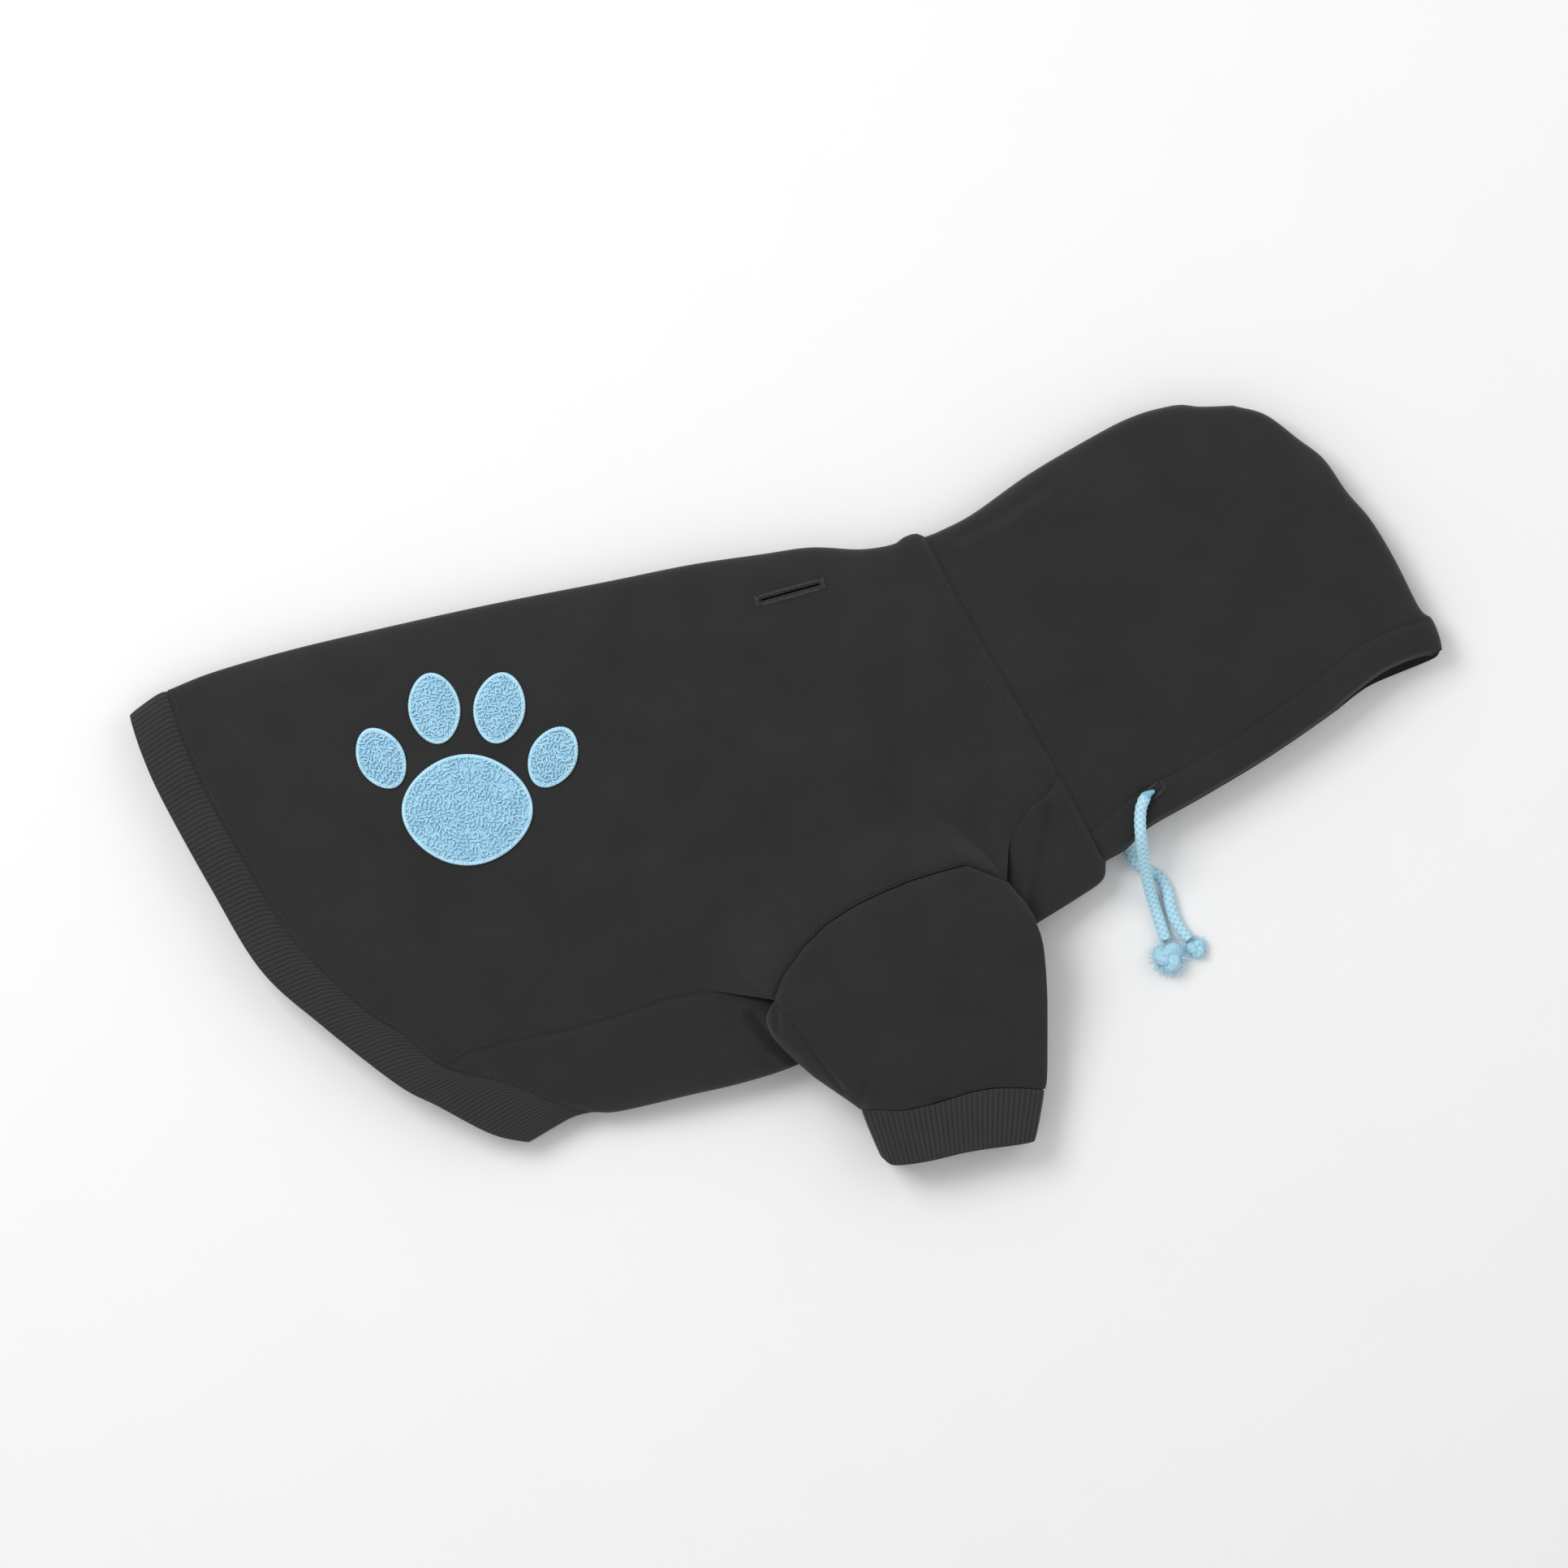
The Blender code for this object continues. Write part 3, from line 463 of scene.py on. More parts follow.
    def cuff(self) -> Surface:
        """Plan patch of a cuff."""
        back, front = self.cuff_corners()
        run = (front - back) / self.cuff_width
        out = np.array([run[1], -run[0]])
        end_back = back + out * self.cuff_depth + run * self.cuff_taper * 0.5
        end_front = front + out * self.cuff_depth - run * self.cuff_taper * 0.5
        return patch(edge(back, front, self.cuff_seam), edge(end_back, end_front, self.cuff_end),
                     edge(back, end_back, []), edge(front, end_front, []))

    def limb_base(self, s: Array, t: Array, layer: Layer) -> Array:
        """Lowest level of a sleeve, which for the upper one comes down to the cuffs."""
        if layer is Layer.LOWER:
            return np.zeros_like(s)
        leaves = 0.45 - 0.20 * s
        high = self.body_height + self.lie_gap
        low = self.cuff_height + self.lie_gap
        return high + (low - high) * smooth((t - leaves + 0.05) / (1.05 - leaves), 0.0, 1.0)

    def placed(self, points: Array) -> Array:
        """Move points from the garment's own frame into the row's frame."""
        return points + np.array(self.to_row)


PLAN = GarmentPlan()


# Work at the bench


def select_only(piece: bpy.types.Object) -> None:
    """Make one object the only selected and active one."""
    bpy.ops.object.select_all(action="DESELECT")
    piece.select_set(True)
    bpy.context.view_layer.objects.active = piece


def read_points(piece: bpy.types.Object) -> Array:
    """Read a mesh's points, one a row."""
    points = np.empty(len(piece.data.vertices) * 3)
    piece.data.vertices.foreach_get("co", points)
    return points.reshape(-1, 3)


def write_points(piece: bpy.types.Object, points: Array) -> None:
    """Write a mesh's points back."""
    piece.data.vertices.foreach_set("co", np.asarray(points, float).ravel())
    piece.data.update()


def set_tone(piece: bpy.types.Object, tone: Array) -> None:
    """Store one tone value a point, which the materials read: painted shade on the rib knit, the braid and
    the paw-print cushions, random tone elsewhere.
    """
    layer = piece.data.attributes.new("tone", "FLOAT", "POINT")
    layer.data.foreach_set("value", np.asarray(tone, float))


def merge_doubles(piece: bpy.types.Object) -> None:
    """Weld points that lie on each other."""
    select_only(piece)
    bpy.ops.object.mode_set(mode="EDIT")
    bpy.ops.mesh.select_all(action="SELECT")
    bpy.ops.mesh.remove_doubles(threshold=0.00001)
    bpy.ops.object.mode_set(mode="OBJECT")


def read_faces(piece: bpy.types.Object, what: str) -> Array:
    """Read the normal or the center of each face, one a row."""
    values = np.empty(len(piece.data.polygons) * 3)
    piece.data.polygons.foreach_get(what, values)
    return values.reshape(-1, 3)


def flip_faces(piece: bpy.types.Object) -> None:
    """Turn all faces of a piece round."""
    select_only(piece)
    bpy.ops.object.mode_set(mode="EDIT")
    bpy.ops.mesh.select_all(action="SELECT")
    bpy.ops.mesh.flip_normals()
    bpy.ops.object.mode_set(mode="OBJECT")


def face_outwards(piece: bpy.types.Object) -> None:
    """Turn all faces so that they point away from the piece's middle line."""
    lifted = read_faces(piece, "center")[:, 2]
    if ((lifted - np.median(lifted)) * read_faces(piece, "normal")[:, 2]).sum() < 0:
        flip_faces(piece)


def shaped_grid(name: str, columns: int, rows: int, shape: Surface, weld: bool = False) -> bpy.types.Object:
    """Add a grid and shape it by a function of its two shares.

    Args:
        name: Name of the piece.
        columns: Spans across, the first share.
        rows: Spans along, the second share.
        shape: Points in the row's frame for shares u and v.
        weld: True where edges of the grid meet each other.

    Returns:
        The shaped piece.
    """
    bpy.ops.object.select_all(action="DESELECT")
    bpy.ops.mesh.primitive_grid_add(x_subdivisions=columns, y_subdivisions=rows, size=1.0)
    piece = bpy.context.active_object
    piece.name = name
    piece.data.name = name
    flat = read_points(piece)
    write_points(piece, shape(np.clip(flat[:, 0] + 0.5, 0, 1), np.clip(flat[:, 1] + 0.5, 0, 1)))
    if weld:
        merge_doubles(piece)
    face_outwards(piece)
    return piece


def apply_modifier(piece: bpy.types.Object, kind: str, **settings: object) -> None:
    """Add a modifier with its settings and apply it."""
    select_only(piece)
    bpy.ops.object.modifier_add(type=kind)
    modifier = piece.modifiers[-1]
    for key, value in settings.items():
        setattr(modifier, key, value)
    bpy.ops.object.modifier_apply(modifier=modifier.name)


def give_wall(piece: bpy.types.Object, wall: float) -> None:
    """Give an outer skin its cloth's thickness towards the inside."""
    apply_modifier(piece, "SOLIDIFY", thickness=wall, offset=-1.0)


def shade_smooth(piece: bpy.types.Object, angle: float = 55.0) -> None:
    """Shade a piece smooth but for sharp corners."""
    select_only(piece)
    bpy.ops.object.shade_smooth_by_angle(angle=math.radians(angle))


def ripple(points: Array, size: float, seed: float) -> Array:
    """Soft noise between about -1 and 1 at points.

    Args:
        points: Points, one a row.
        size: Width of one wave in metres.
        seed: Offset that picks another pattern.

    Returns:
        One value a point.
    """
    scaled = points / size + seed
    return np.array([noise.noise(Vector(point)) for point in scaled])


def bead(rings: int, size: Tuple[float, float, float]) -> bpy.types.Object:
    """Model one stitch as a long bead of thread.

    Args:
        rings: Rings along the bead.
        size: Length along X, width and height.

    Returns:
        The bead, to be copied along a row.
    """
    bpy.ops.object.select_all(action="DESELECT")
    bpy.ops.mesh.primitive_uv_sphere_add(segments=6, ring_count=rings, radius=0.5)
    model = bpy.context.active_object
    write_points(model, read_points(model)[:, [2, 0, 1]] * size)
    return model


def copies(name: str, model: bpy.types.Object, places: Sequence[Matrix]) -> bpy.types.Object:
    """Join many copies of a small model into one piece and remove the model.

    Args:
        name: Name of the joined piece.
        model: The modelled piece that repeats.
        places: Place of each copy.

    Returns:
        The joined piece.
    """
    points = read_points(model)
    faces = [tuple(face.vertices) for face in model.data.polygons]
    turned = np.array([np.array(place) for place in places])
    spread = np.einsum("nij,pj->npi", turned[:, :3, :3], points) + turned[:, None, :3, 3]
    mesh = bpy.data.meshes.new(name)
    count = len(points)
    mesh.from_pydata(spread.reshape(-1, 3).tolist(), [],
                     [tuple(corner + index * count for corner in face)
                      for index in range(len(places)) for face in faces])
    mesh.update()
    piece = bpy.data.objects.new(name, mesh)
    bpy.context.scene.collection.objects.link(piece)
    bpy.data.objects.remove(model)
    mesh.shade_smooth()
    return piece


def frame_at(place: Array, along: Array, up: Array, spin: float = 0.0) -> Matrix:
    """Placing matrix with X along a direction and Z near another.

    Args:
        place: Where the copy's origin goes.
        along: Direction of the copy's X.
        up: Direction near the copy's Z.
        spin: Turn about X in radians.

    Returns:
        The matrix.
    """
    ahead = unit(np.asarray(along, float))
    side = unit(np.cross(np.asarray(up, float), ahead))
    top = np.cross(ahead, side)
    turned = Matrix([[ahead[i], side[i], top[i], place[i]] for i in range(3)] + [[0, 0, 0, 1]])
    return turned @ Matrix.Rotation(spin, 4, "X")


def tube(name: str, path: Array, sides: int, section: Callable[[Array, Array], Array],
         closed: bool = False) -> bpy.types.Object:
    """Draw a tube along a path.

    Args:
        name: Name of the piece.
        path: Points of the centre line.
        sides: Spans round the tube.
        section: Radius in metres for the angle's share and the length's share.
        closed: True for a ring; an open tube has its ends closed to a point.

    Returns:
        The tube as a piece.
    """
    if closed:
        ahead = unit(np.roll(path, -1, axis=0) - np.roll(path, 1, axis=0))
        path = np.vstack([path, path[:1]])
        ahead = np.vstack([ahead, ahead[:1]])
    else:
        ahead = unit(np.gradient(path, axis=0))
    across = unit(np.cross(ahead, [0.0, 0.0, 1.0]))
    top = np.cross(across, ahead)
    spans = len(path) - 1

    def shape(u: Array, v: Array) -> Array:
        """Points of the tube."""
        index = np.rint(v * spans).astype(int)
        angle = 2 * math.pi * u
        radius = section(u, v)
        if not closed:
            radius = np.where((index == 0) | (index == spans), 0.0, radius)
        return (path[index] + (across[index] * np.cos(angle)[:, None]
                               + top[index] * np.sin(angle)[:, None]) * radius[:, None])
    return shaped_grid(name, sides, spans, shape, weld=True)


class Ground:
    """Surface of a made piece, on which trim is laid."""

    def __init__(self, *pieces: bpy.types.Object) -> None:
        """Read the surfaces of the pieces."""
        graph = bpy.context.evaluated_depsgraph_get()
        graph.update()
        self.trees = [BVHTree.FromObject(piece, graph) for piece in pieces]

    def top(self, plan: Array) -> Tuple[Array, Array]:
        """Find the upper surface over a plan point.

        Args:
            plan: Plan point in the row's frame.

        Returns:
            The point on the surface and its normal.
        """
        best = None
        for tree in self.trees:
            hit, normal, _, _ = tree.ray_cast(Vector((plan[0], plan[1], 0.2)), Vector((0, 0, -1)))
            if hit is not None and (best is None or hit.z > best[0].z):
                best = (hit, normal)
        if best is None:
            return np.array([plan[0], plan[1], 0.0]), np.array([0.0, 0.0, 1.0])
        return np.array(best[0]), np.array(best[1])

    def drape(self, line: Array, lift: float = 0.0) -> Tuple[Array, Array]:
        """Lay a plan line on the upper surface."""
        found = [self.top(point) for point in line]
        normals = np.array([normal for _, normal in found])
        return np.array([point for point, _ in found]) + normals * lift, normals


# Finishes


@dataclass(frozen=True)
class ClothFinish:
    """One finish of the garment."""

    name: str
    dark: Tuple[float, float, float]
    light: Tuple[float, float, float]
    grain: float
    cloud: float
    bump: float
    roughness: float
    sheen: float
    tone_share: float = 0.0


FLEECE = ClothFinish("black brushed fleece", (0.012, 0.012, 0.0125), (0.020, 0.020, 0.0205),
                     0.0009, 0.030, 0.00016, 0.95, 0.12)
# Through the tone the rib knit's dark colour lies between the ribs and its light colour on them: mostly
# painted shade in the grooves, with a little random grain.
RIB = ClothFinish("black rib knit", (0.010, 0.010, 0.0105), (0.030, 0.030, 0.0305),
                  0.0008, 0.020, 0.00010, 0.92, 0.12, 0.75)
THREAD = ClothFinish("black sewing thread", (0.020, 0.020, 0.021), (0.040, 0.040, 0.042),
                     0.0006, 0.010, 0.00004, 0.70, 0.05)
WELT = ClothFinish("grey-black buttonhole thread", (0.022, 0.022, 0.023), (0.055, 0.055, 0.058),
                   0.0006, 0.010, 0.00005, 0.65, 0.05, 0.6)
LOOPS = ClothFinish("sky blue looped yarn", (0.270, 0.540, 0.720), (0.520, 0.790, 0.910),
                    0.0008, 0.008, 0.00020, 0.92, 0.10, 0.45)
# Through the tone the cord's colour is darker between its strands, painted shade in the plait; on the knot
# and the fringe the tone varies at random.
BRAID = ClothFinish("sky blue braided yarn", (0.200, 0.440, 0.600), (0.520, 0.790, 0.900),
                    0.0006, 0.006, 0.00006, 0.80, 0.08, 0.85)
PAPER = ClothFinish("white studio floor", (0.840, 0.840, 0.840), (0.850, 0.850, 0.850),
                    0.0500, 0.500, 0.0, 0.95, 0.0)


class Dyer:
    """Builds the materials, which share one node group for the nap of the cloth."""

    def __init__(self) -> None:
        """Start with the shared group and no material."""
        self.made: Dict[str, bpy.types.Material] = {}
        self.nap = self.nap_group()

    def nap_group(self) -> bpy.types.NodeTree:
        """Make the group that gives the nap's height and its cloudy shade."""
        group = bpy.data.node_groups.new("cloth nap", "ShaderNodeTree")
        for name, way in (("Grain", "INPUT"), ("Cloud", "INPUT"), ("Height", "OUTPUT"), ("Shade", "OUTPUT")):
            group.interface.new_socket(name, in_out=way, socket_type="NodeSocketFloat")
        nodes = group.nodes
        links = group.links

        def weigh(operation: str, share: float) -> bpy.types.Node:
            """Add a math node with its second value set."""
            node = nodes.new("ShaderNodeMath")
            node.operation = operation
            node.inputs[1].default_value = share
            return node
        entry = nodes.new("NodeGroupInput")
        leave = nodes.new("NodeGroupOutput")
        place = nodes.new("ShaderNodeTexCoord")
        fibre = nodes.new("ShaderNodeTexNoise")
        fibre.inputs["Detail"].default_value = 4.0
        fibre.inputs["Roughness"].default_value = 0.65
        tuft = nodes.new("ShaderNodeTexVoronoi")
        tuft.inputs["Scale"].default_value = 620.0
        cloud = nodes.new("ShaderNodeTexNoise")
        cloud.inputs["Detail"].default_value = 3.0
        height = weigh("MULTIPLY_ADD", 0.35)
        blend = weigh("MULTIPLY_ADD", 0.55)
        part = weigh("MULTIPLY", 0.45)
        for texture in (fibre, tuft, cloud):
            links.new(place.outputs["Object"], texture.inputs["Vector"])
        links.new(entry.outputs["Grain"], fibre.inputs["Scale"])
        links.new(entry.outputs["Cloud"], cloud.inputs["Scale"])
        links.new(tuft.outputs["Distance"], height.inputs[0])
        links.new(fibre.outputs["Fac"], height.inputs[2])
        links.new(fibre.outputs["Fac"], blend.inputs[0])
        links.new(cloud.outputs["Fac"], part.inputs[0])
        links.new(part.outputs[0], blend.inputs[2])
        links.new(height.outputs[0], leave.inputs["Height"])
        links.new(blend.outputs[0], leave.inputs["Shade"])
        return group

    def material(self, finish: ClothFinish) -> bpy.types.Material:
        """Make or fetch the material of a finish."""
        if finish.name in self.made:
            return self.made[finish.name]
        material = bpy.data.materials.new(finish.name)
        material.use_nodes = True
        nodes = material.node_tree.nodes
        links = material.node_tree.links
        shader = nodes["Principled BSDF"]
        shader.inputs["Metallic"].default_value = 0.0
        shader.inputs["Roughness"].default_value = finish.roughness
        shader.inputs["Sheen Weight"].default_value = finish.sheen
        shader.inputs["Sheen Roughness"].default_value = 0.6
        shader.inputs["Specular IOR Level"].default_value = 0.25
        nap = nodes.new("ShaderNodeGroup")
        nap.node_tree = self.nap
        nap.inputs["Grain"].default_value = 1.0 / finish.grain
        nap.inputs["Cloud"].default_value = 1.0 / finish.cloud
        spread = nodes.new("ShaderNodeMapRange")
        spread.inputs["From Min"].default_value = 0.32
        spread.inputs["From Max"].default_value = 0.68
        links.new(nap.outputs["Shade"], spread.inputs["Value"])
        shade = spread.outputs["Result"]
        # The tone attribute carries painted shade between ribs, braid strands and paw-print loops, and
        # random tone on the other pieces.
        if finish.tone_share > 0:
            tone = nodes.new("ShaderNodeAttribute")
            tone.attribute_name = "tone"
            weigh = nodes.new("ShaderNodeMix")
            weigh.inputs["Factor"].default_value = finish.tone_share
            links.new(shade, weigh.inputs[2])
            links.new(tone.outputs["Fac"], weigh.inputs[3])
            shade = weigh.outputs[0]
        colour = nodes.new("ShaderNodeMix")
        colour.data_type = "RGBA"
        colour.inputs[6].default_value = (*finish.dark, 1.0)
        colour.inputs[7].default_value = (*finish.light, 1.0)
        links.new(shade, colour.inputs["Factor"])
        links.new(colour.outputs[2], shader.inputs["Base Color"])
        if finish.bump > 0:
            bump = nodes.new("ShaderNodeBump")
            bump.inputs["Strength"].default_value = 0.8
            bump.inputs["Distance"].default_value = finish.bump
            links.new(nap.outputs["Height"], bump.inputs["Height"])
            links.new(bump.outputs["Normal"], shader.inputs["Normal"])
        self.made[finish.name] = material
        return material

    def dress(self, piece: bpy.types.Object, finish: ClothFinish) -> None:
        """Give a piece one finish all over."""
        piece.data.materials.clear()
        piece.data.materials.append(self.material(finish))


@dataclass(frozen=True)
class Crease:
    """One soft crease of the cloth, a valley with a low swell on both sides."""

    route: Table
    width: float
    depth: float


@dataclass
class Relief:
    """Seams, creases and slack of the upper layer, as heights over the plain skin."""

    seam_width: float = 0.0013
    seam_depth: float = 0.0014
    roll_width: float = 0.0050
    roll_depth: float = 0.0007
    ridge: float = 0.0011
    ridge_place: float = 0.0034
    ridge_width: float = 0.0019
    channel: float = 0.0170
    channel_width: float = 0.0011
    channel_swell: float = 0.0007
    lip_drop: float = 0.0034
    lip_width: float = 0.0032
    calm_reach: float = 0.02
    slack: float = 0.0007
    creases: Sequence[Crease] = (
        Crease(((0.2619, -0.2169), (0.2686, -0.2311), (0.2759, -0.2482), (0.2831, -0.2641)), 0.0012, 0.0012),
        Crease(((0.4111, -0.1514), (0.4064, -0.1651), (0.3990, -0.1803), (0.3929, -0.1949)), 0.0030, 0.0022),
        Crease(((0.2479, -0.2192), (0.2543, -0.2312), (0.2639, -0.2452)), 0.0026, 0.0024),
        Crease(((0.2603, -0.2149), (0.2583, -0.2280)), 0.0016, 0.0016),
        Crease(((0.3287, -0.2803), (0.3386, -0.2669)), 0.0030, 0.0012),
        Crease(((0.2886, -0.2727), (0.2950, -0.2620)), 0.0030, 0.0018),
        Crease(((0.3982, -0.0106), (0.4209, -0.0045), (0.4428, 0.0042)), 0.0030, 0.0008),
        Crease(((0.5786, -0.0412), (0.5371, -0.0812), (0.4981, -0.1095), (0.4743, -0.1248)), 0.0120, 0.0010),
        Crease(((0.3849, -0.1400), (0.3700, -0.1620), (0.3640, -0.1800)), 0.0070, 0.0010),
        Crease(((0.1000, -0.2000), (0.1700, -0.1960), (0.2300, -0.1900)), 0.0060, 0.0006),
        Crease(((0.3950, -0.0900), (0.4300, -0.1000), (0.4700, -0.0950)), 0.0060, 0.0005),
        Crease(((0.3000, -0.1200), (0.3500, -0.1100), (0.4000, -0.1250)), 0.0100, 0.0006),
    )

    def seams(self) -> List[Array]:
        """Plan lines of all seams that show on top."""
        return [PLAN.neck_line(), PLAN.hem_line(), PLAN.seam_line(PLAN.belly_seam),
                PLAN.seam_line(PLAN.armhole_top), PLAN.seam_line(PLAN.chest_seam)]

    def over_body(self, points: Array) -> Array:
        """Height over the plain skin of body and sleeves.

        Args:
            points: Plan points in the garment's own frame.

        Returns:
            One height a point, in metres.
        """
        height = np.zeros(len(points))
        nearest = np.full(len(points), 1.0)
        for line in self.seams():
            nearest = np.minimum(nearest, distance(points, line))
        height -= self.seam_depth * np.exp(-(nearest / self.seam_width) ** 2)
        height -= self.roll_depth * np.exp(-(nearest / self.roll_width) ** 2)
        neck = distance(points, PLAN.neck_line())
        height += self.ridge * np.exp(-((neck - self.ridge_place) / self.ridge_width) ** 2)
        height += self.worn(points) * smooth(nearest, 0.0, self.calm_reach)
        return height + self.creased(points)

    def creased(self, points: Array) -> Array:
        """Height of the creases alone."""
        height = np.zeros(len(points))
        for crease in self.creases:
            line = spline(crease.route)(np.linspace(0.0, 1.0, 14))
            reach = distance(points, line) / crease.width
            height += crease.depth * (0.45 * np.exp(-(reach - 1.9) ** 2) - np.exp(-reach ** 2))
        return height

    def worn(self, points: Array) -> Array:
        """Height of the cloth's slack waves."""
        spots = np.column_stack([points, np.zeros(len(points))])
        return self.slack * ripple(spots, 0.055, 3.7) + 0.45 * self.slack * ripple(spots, 0.022, 9.1)

    def over_hood(self, points: Array, front: Array) -> Array:
        """Height over the plain skin of the hood.

        Args:
            points: Plan points in the garment's own frame.
            front: Plan line of the hood's front edge.

        Returns:
            One height a point, in metres.
        """
        neck = distance(points, PLAN.neck_line())
        lip = distance(points, front)
        height = -self.seam_depth * np.exp(-(neck / self.seam_width) ** 2)
        height -= self.roll_depth * np.exp(-(neck / self.roll_width) ** 2)
        height -= 0.7 * self.seam_depth * np.exp(-((lip - self.channel) / self.channel_width) ** 2)
        inside = smooth(lip, 0.0, 0.004) * (1 - smooth(lip, self.channel - 0.003, self.channel))
        height += self.channel_swell * inside
        height -= self.lip_drop * (1 - smooth(lip, 0.0, self.lip_width)) ** 2
        calm = smooth(neck, 0.0, self.calm_reach) * smooth(lip, 0.0, self.calm_reach)
        height += self.worn(points) * calm
        return height + self.creased(points)


RELIEF = Relief()


# Sub-assemblies


@dataclass
class Workshop:
    """What every sub-assembly needs: the dyer and the list of made pieces."""

    dyer: Dyer = field(default_factory=Dyer)
    made: List[bpy.types.Object] = field(default_factory=list)

    def finish(self, piece: bpy.types.Object, slot: str, finish: ClothFinish,
               nodes: Sequence[str] = ()) -> bpy.types.Object:
        """Dress a piece, seat it on the garment and report it.

        Args:
            piece: The modelled piece.
            slot: Material slot of the record; not used.
            finish: Finish to dress it with.
            nodes: Solids that it stands for.

        Returns:
            The same piece.
        """
        self.dyer.dress(piece, finish)
        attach(piece, "root")
        if nodes:
            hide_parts(*nodes)
        self.made.append(piece)
        LOG.info("made %s with %d faces", piece.name, len(piece.data.polygons))
        return piece


@dataclass
class BodyTube:
    """Back and belly panel, with the leash slit's hole."""

    rows: int = 170
    back_columns: int = 220
    belly_columns: int = 120
    slit_length: float = 0.0300
    slit_width: float = 0.0012
    slit_place: Tuple[float, float] = (0.797, 0.096)
    slit_turn: float = 3.0
    slit_tilt: float = 12.0

    def skin(self, panel: Panel) -> Surface:
        """Make the outer skin of a panel.

        Args:
            panel: Back or belly.

        Returns:
            Points in the row's frame for shares round the panel and along the back.
        """
        table = PLAN.armhole_top if panel is Panel.BACK else PLAN.armhole_bottom

        def shape(u: Array, v: Array) -> Array:
            """Points in the row's frame."""
            line = PLAN.seam_down(v, PLAN.belly_seam, table, PLAN.chest_seam)
            reach = np.abs(2 * u - 1) ** 1.6
            down = line * reach if panel is Panel.BACK else 1 - (1 - line) * reach
            upper = PLAN.body_skin(v, down, Layer.UPPER, panel)
            lower = PLAN.body_skin(v, down, Layer.LOWER, panel)
            top = (u < 0.5)[:, None]
            points = np.where(top, upper, lower)
            crown = smooth(points[:, 2], 0.0145, 0.0215) * (u < 0.5)
            points[:, 2] += RELIEF.over_body(points[:, :2]) * crown
            return PLAN.placed(points)
        return shape

    def panel(self, shop: Workshop, panel: Panel, name: str, node: str) -> bpy.types.Object:
        """Model one panel of the body.

        Args:
            shop: Where pieces are finished.
            panel: Back or belly.
            name: Name of the piece.
            node: Solid that it stands for.

        Returns:
            The finished panel.
        """
        columns = self.back_columns if panel is Panel.BACK else self.belly_columns
        piece = shaped_grid(name, columns, self.rows, self.skin(panel))
        give_wall(piece, PLAN.fleece)
        if panel is Panel.BACK:
            self.cut_slit(piece)
        shade_smooth(piece)
        return shop.finish(piece, "fleece", FLEECE, [node])

    def slit_frame(self, piece: bpy.types.Object) -> Tuple[Array, Array]:
        """Centre of the slit on a piece and the direction along it."""
        plan = PLAN.body()(*self.slit_place) + np.array(PLAN.to_row[:2])
        centre, _ = Ground(piece).top(plan)
        turn = math.radians(self.slit_turn)
        return centre, np.array([math.cos(turn), math.sin(turn), 0.0])

    def cut_slit(self, piece: bpy.types.Object) -> None:
        """Cut the slit's hole through the upper layer."""
        centre, along = self.slit_frame(piece)
        bpy.ops.object.select_all(action="DESELECT")
        bpy.ops.mesh.primitive_cylinder_add(vertices=24, radius=self.slit_width / 2,
                                            depth=6 * PLAN.fleece)
        cutter = bpy.context.active_object
        points = read_points(cutter)
        points[:, 0] += np.sign(points[:, 0]) * (self.slit_length - self.slit_width) / 2
        turn = Matrix.Rotation(math.atan2(along[1], along[0]), 3, "Z") @ Matrix.Rotation(
            math.radians(self.slit_tilt), 3, "X")
        write_points(cutter, points @ np.array(turn).T + centre)
        apply_modifier(piece, "BOOLEAN", object=cutter, operation="DIFFERENCE", solver="EXACT")
        bpy.data.objects.remove(cutter)


def even_steps(line: Callable[[Array], Array], count: int) -> Array:
    """Shares round a closed line that stand evenly along its length.

    Args:
        line: Points for shares from 0 to 1.
        count: Number of spans.

    Returns:
        The shares, the first at 0 and the last at 1.
    """
    fine = np.linspace(0.0, 1.0, 4001)
    steps = np.linalg.norm(np.diff(line(fine), axis=0), axis=1)
    reached = np.concatenate([[0.0], np.cumsum(steps)]) / steps.sum()
    return np.interp(np.linspace(0.0, 1.0, count + 1), reached, fine)


